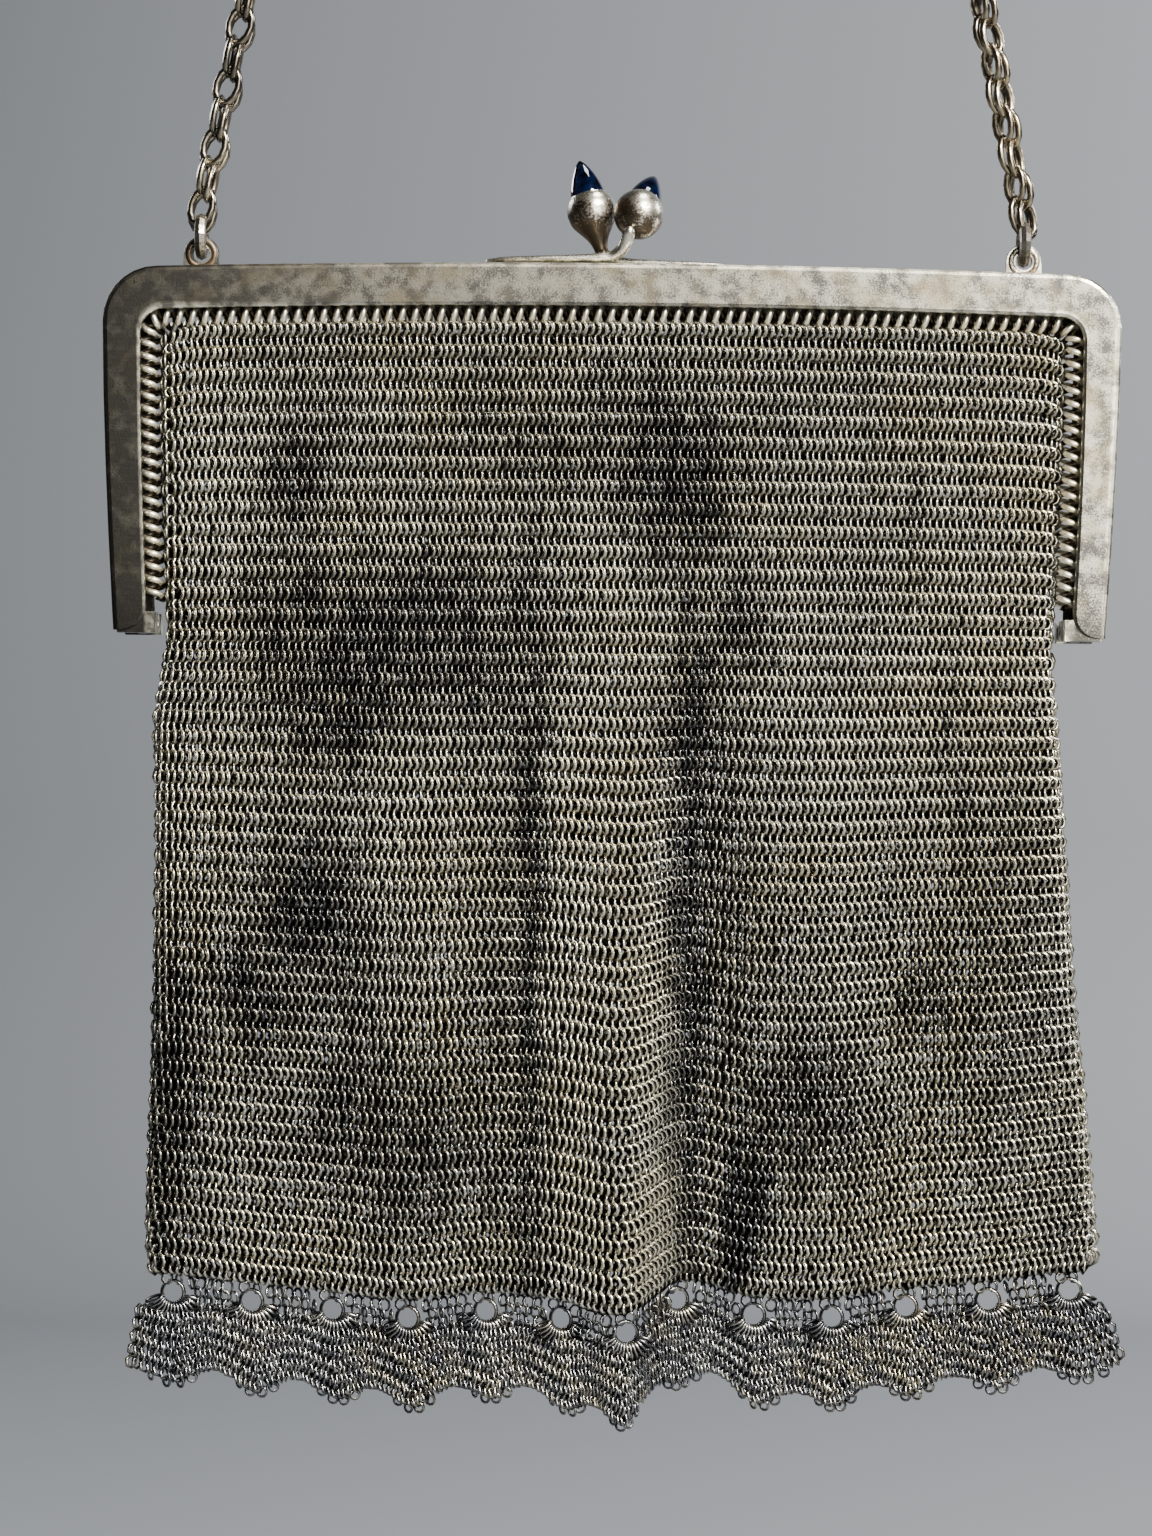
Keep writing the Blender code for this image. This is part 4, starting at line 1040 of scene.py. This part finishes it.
def edge_wear_and_highlight_mask(look):
    """Wear and painted highlights along the frame's outer and inner outlines: distance from two rounded
    rectangles, each open below and narrowing downwards, from the object's own x and z."""
    x, low = look.axis("X"), look.axis("Z")
    side = look.calc("MULTIPLY_ADD", low, -OUTLINE_TAPER, look.calc("ABSOLUTE", x))
    edges = []
    for outline in OUTLINES:
        across = look.calc("SUBTRACT", side, outline.half - outline.radius)
        above = look.calc("SUBTRACT", low, outline.top - outline.radius)
        squares = [look.calc("POWER", look.calc("MAXIMUM", one, 0.0), 2.0) for one in (across, above)]
        corner = look.calc("SQRT", look.calc("ADD", *squares))
        inside = look.calc("MINIMUM", look.calc("MAXIMUM", across, above), 0.0)
        distance = look.calc("SUBTRACT", look.calc("ADD", corner, inside), outline.radius)
        distance = look.calc("MULTIPLY", distance, outline.sign)
        edges.append(look.scale(distance, 1.0, 0.0, 0.0002, outline.reach))
    # The painted highlight on the outer outline fades out on the left, away from the light
    edges[0] = look.calc("MULTIPLY", edges[0], look.scale(x, 0.0, 1.0, *LEFT_EDGE_HIGHLIGHT))
    return look.calc("MAXIMUM", *edges)


def aged_silver(name, bright, dark, brown, patch, shine, scratches=True, edges=False, tarnish_and_painted_light=False):
    """Silver with mottled dark tarnish, brownish stains, fine scratches and uneven polish, and with the
    polish and painted light mark, lighter and darker where that mark is high and low. With edges, the
    frame's outline is worn bright with painted highlights, its left leg darkens to near black as painted
    shade, and its feet darken to near black."""
    look = Finish(name)
    mottled = look.noise(patch, 6.0)
    fine = look.noise(patch * 9, 4.0)
    both = look.mix(0.45, mottled, fine)
    # Lighter where the polish and painted light mark is high, a painted highlight, and darker where it is
    # low, painted shade
    if tarnish_and_painted_light:
        both = look.calc("ADD", both, look.scale(look.mark("polish"), -0.17, 0.13))
    colour = look.ramp(both, ((0.435, dark), (0.57, bright)))
    stained = look.ramp(look.noise(patch * 0.45, 4.0), ((0.50, (0.0, 0.0, 0.0)), (0.68, (1.0, 1.0, 1.0))))
    colour = look.mix(look.scale(stained, 0.0, 0.6), colour, brown)
    if edges:
        # Bright edges: partly real wear, partly painted highlight on the bevels, broken up by the
        # mottling
        edge_wear_and_highlight = look.calc("MULTIPLY", edge_wear_and_highlight_mask(look), look.scale(mottled, 0.15, 1.0, 0.42, 0.56))
        black = tuple(0.60 * part for part in dark)
        # Painted shade: the left leg darkens to near black
        left_shade_place = look.calc("ADD", look.axis("X"), look.scale(mottled, -0.02, 0.02, 0.3, 0.7))
        colour = look.mix(look.scale(left_shade_place, 0.12, 1.0, *LEFT_LEG_SHADE), black, colour)
        low = look.calc("ADD", look.axis("Z"), look.scale(fine, -0.003, 0.003, 0.3, 0.7))
        colour = look.mix(look.scale(low, 0.15, 1.0, *FEET_TONE), black, colour)
        colour = look.mix(edge_wear_and_highlight, colour, tuple(min(1.0, 2.3 * part) for part in bright))
    look.paint("Base Color", colour)
    look.paint("Metallic", 1.0)
    look.paint("Roughness", look.scale(both, shine + 0.16, shine - 0.06, 0.3, 0.7))
    if scratches:
        lines = look.noise(260.0, 3.0, (1.0, 1.0, 9.0))
        look.paint("Normal", look.bump(look.mix(0.5, lines, fine), 0.25, 0.0002))
    else:
        look.paint("Normal", look.bump(fine, 0.2, 0.0001))
    return look.material


def mesh_silver(name, bright, dull, recess_tarnish_and_shade, stain, yellow, shine=0.24):
    """Silver wire of the mesh: pale where the polish and painted light mark is high, partly real rubbing
    and partly painted highlight, near black where it is low, as painted shade in the recesses with some
    real tarnish, darker in the stains and the painted fold shade, and yellowed in soft patches, more on
    the right."""
    look = Finish(name)
    polish = look.mark("polish")
    marked = look.mark("stain")
    patch = look.noise(95.0, 4.0, (1.0, 1.0, 0.35))
    fine = look.noise(1400.0, 2.0)
    shown = look.mix(look.scale(patch, 0.0, 1.0, 0.35, 0.66), dull, bright)
    warm = look.noise(60.0, 3.0)
    warm = look.calc("ADD", warm, look.scale(look.axis("X"), 0.0, 0.10, 0.030, 0.070))
    shown = look.mix(look.scale(warm, 0.0, 0.75, 0.46, 0.66), shown, yellow)
    shown = look.mix(look.scale(fine, 0.0, 0.45, 0.45, 0.7), shown, dull)
    shown = look.mix(look.scale(marked, 0.0, 0.92, 0.05, 0.85), shown, stain)
    # Painted shade: the recess colour, near black, where the wire lies inside the sheet
    colour = look.mix(polish, recess_tarnish_and_shade, shown)
    look.paint("Base Color", colour)
    look.paint("Metallic", 1.0)
    look.paint("Roughness", look.scale(polish, 0.5, shine))
    look.paint("Normal", look.bump(fine, 0.15, 0.00005))
    return look.material


def blue_stone():
    """Polished deep blue stone, a little cloudy inside."""
    look = Finish("blue_stone")
    cloud = look.noise(700.0, 4.0)
    stops = ((0.38, (0.0003, 0.0004, 0.0012)), (0.66, (0.0008, 0.003, 0.016)))
    look.paint("Base Color", look.ramp(cloud, stops))
    look.paint("Roughness", look.scale(cloud, 0.03, 0.09))
    look.paint("IOR", 1.62)
    look.paint("Coat Weight", 0.6)
    look.paint("Coat Roughness", 0.03)
    return look.material


FRAME_SILVER = aged_silver("frame_silver", bright=(0.345, 0.33, 0.275), dark=(0.075, 0.072, 0.067),
                           brown=(0.22, 0.185, 0.115), patch=420.0, shine=0.30, edges=True)
CLASP_SILVER = aged_silver("clasp_silver", bright=(0.74, 0.71, 0.62), dark=(0.07, 0.055, 0.04),
                           brown=(0.24, 0.16, 0.09), patch=330.0, shine=0.28, tarnish_and_painted_light=True)
CHAIN_SILVER = aged_silver("chain_silver", bright=(0.58, 0.55, 0.47), dark=(0.22, 0.20, 0.18),
                           brown=(0.34, 0.27, 0.17), patch=260.0, shine=0.26, scratches=False)
MESH_SILVER = mesh_silver("mesh_silver", bright=(1.0, 0.96, 0.80), dull=(0.72, 0.69, 0.59),
                          recess_tarnish_and_shade=(0.008, 0.007, 0.006), stain=(0.045, 0.048, 0.056),
                          yellow=(0.84, 0.77, 0.56))
LACING_SILVER = mesh_silver("lacing_silver", bright=(1.0, 0.96, 0.82), dull=(0.95, 0.90, 0.76),
                            recess_tarnish_and_shade=(0.06, 0.048, 0.036), stain=(0.3, 0.28, 0.24),
                            yellow=(0.95, 0.86, 0.62), shine=0.42)
LINK_SILVER = mesh_silver("link_silver", bright=(0.37, 0.34, 0.27), dull=(0.10, 0.085, 0.066),
                          recess_tarnish_and_shade=(0.015, 0.011, 0.008), stain=(0.10, 0.085, 0.07),
                          yellow=(0.56, 0.47, 0.32))
FRINGE_SILVER = mesh_silver("fringe_silver", bright=(0.46, 0.46, 0.43), dull=(0.09, 0.09, 0.095),
                            recess_tarnish_and_shade=(0.008, 0.008, 0.009), stain=(0.12, 0.125, 0.14),
                            yellow=(0.60, 0.54, 0.37))
BLUE_STONE = blue_stone()

for node in ("front_jaw", "back_jaw", "left_hinge_pin", "right_hinge_pin", "left_jump_ring",
             "right_jump_ring"):
    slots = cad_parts[node].data.materials
    slots.clear()
    slots.append(CHAIN_SILVER if "jump_ring" in node else FRAME_SILVER)

# Pieces

front = add_sheet("front_ring_mesh", -1, FRONT_ROWS, FRONT_COLUMNS, MESH_RING, MESH_WIRE, 3, MESH_SILVER)
back = add_sheet("back_ring_mesh", 1, BACK_ROWS, BACK_COLUMNS, BACK_RING, BACK_WIRE, 2, MESH_SILVER)
for piece in front + back:
    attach(piece, "root")
    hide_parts("mesh_bag")

for word, side in (("front", -1), ("back", 1)):
    coil = add_coil(f"{word}_lacing_coil", side, LACING_SILVER)
    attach(coil, "root")
    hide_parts(f"{word}_lacing")

links = add_chain(LINK_SILVER)
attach(links, "root")
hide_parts("chain")

for word, knob, hand, side in (("front", FRONT_KNOB, 1, -1), ("back", BACK_KNOB, -1, 1)):
    clasp = add_clasp(f"{word}_clasp_arm", knob, hand, side, side > 0, CLASP_SILVER)
    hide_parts(f"{word}_clasp")
    stone = add_stone(f"{word}_clasp_stone", knob, BLUE_STONE)
    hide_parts(f"{word}_stone")
    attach(clasp, "root")
    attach(stone, "root")

for word, hand in (("left", -1), ("right", 1)):
    eye_rim = add_eye(f"{word}_chain_eye", hand, CLASP_SILVER)
    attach(eye_rim, "root")

fringe = add_fringe(FRINGE_SILVER)
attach(fringe, "root")
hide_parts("fringe")

# Studio

def add_sweep():
    """Floor that curves up into a backdrop: a profile of floor, quarter round and wall."""
    turn = np.linspace(0, math.pi / 2, 17)
    y = np.r_[-2.2, BACK_WALL_Y - SWEEP_RADIUS * (1 - np.sin(turn)), BACK_WALL_Y]
    z = np.r_[FLOOR_Z, FLOOR_Z + SWEEP_RADIUS * (1 - np.cos(turn)), 2.2]
    x = np.array([-2.4, 2.4])
    points = np.stack([np.repeat(x, len(y)), np.tile(y, 2), np.tile(z, 2)], -1)
    index = np.arange(len(y) - 1)
    faces = np.stack([index, index + len(y), index + len(y) + 1, index + 1], -1)
    look = Finish("studio_grey_with_painted_light")
    # Painted light: the sweep's colour grows lighter to the right, as if lit from that side, with soft
    # blotches
    across = look.calc("ADD", look.scale(look.axis("X"), 0.0, 0.8, -0.35, 0.35),
                       look.scale(look.noise(1.5, 2.0), 0.0, 0.2))
    stops = ((0.0, (0.165, 0.180, 0.202)), (1.0, (0.250, 0.262, 0.284)))
    look.paint("Base Color", look.ramp(across, stops))
    look.paint("Roughness", 0.9)
    sweep = add_mesh("studio_sweep", points - PURSE_TOP, faces, look.material)


def add_light(name, place, aim, size, power, colour):
    """Rectangular lamp turned to its aim."""
    light = bpy.data.lights.new(name, "AREA")
    light.shape = "RECTANGLE"
    light.size, light.size_y = size
    light.energy = power
    light.color = colour
    lamp = add_object(name, light)
    lamp.location = place
    way = np.array(aim) - np.array(place)
    lamp.rotation_euler = Vector(way).to_track_quat("-Z", "Y").to_euler()


add_sweep()
for lamp in LAMPS:
    add_light(*lamp)

world = bpy.data.worlds.new("studio")
bpy.context.scene.world = world
world.use_nodes = True
light = world.node_tree.nodes["Background"].inputs
light["Color"].default_value = (0.30, 0.31, 0.33, 1.0)
light["Strength"].default_value = 0.07

camera = bpy.data.cameras.new("camera")
camera.lens = LENS
camera.sensor_width = SENSOR
camera.clip_start = 0.01
eye = add_object("camera", camera)
eye.location = (VIEW_CENTRE[0], VIEW_CENTRE[1] - VIEW_HEIGHT * LENS / SENSOR, VIEW_CENTRE[2])
eye.rotation_euler = (math.pi / 2, CAMERA_ROLL, 0.0)
bpy.context.scene.camera = eye
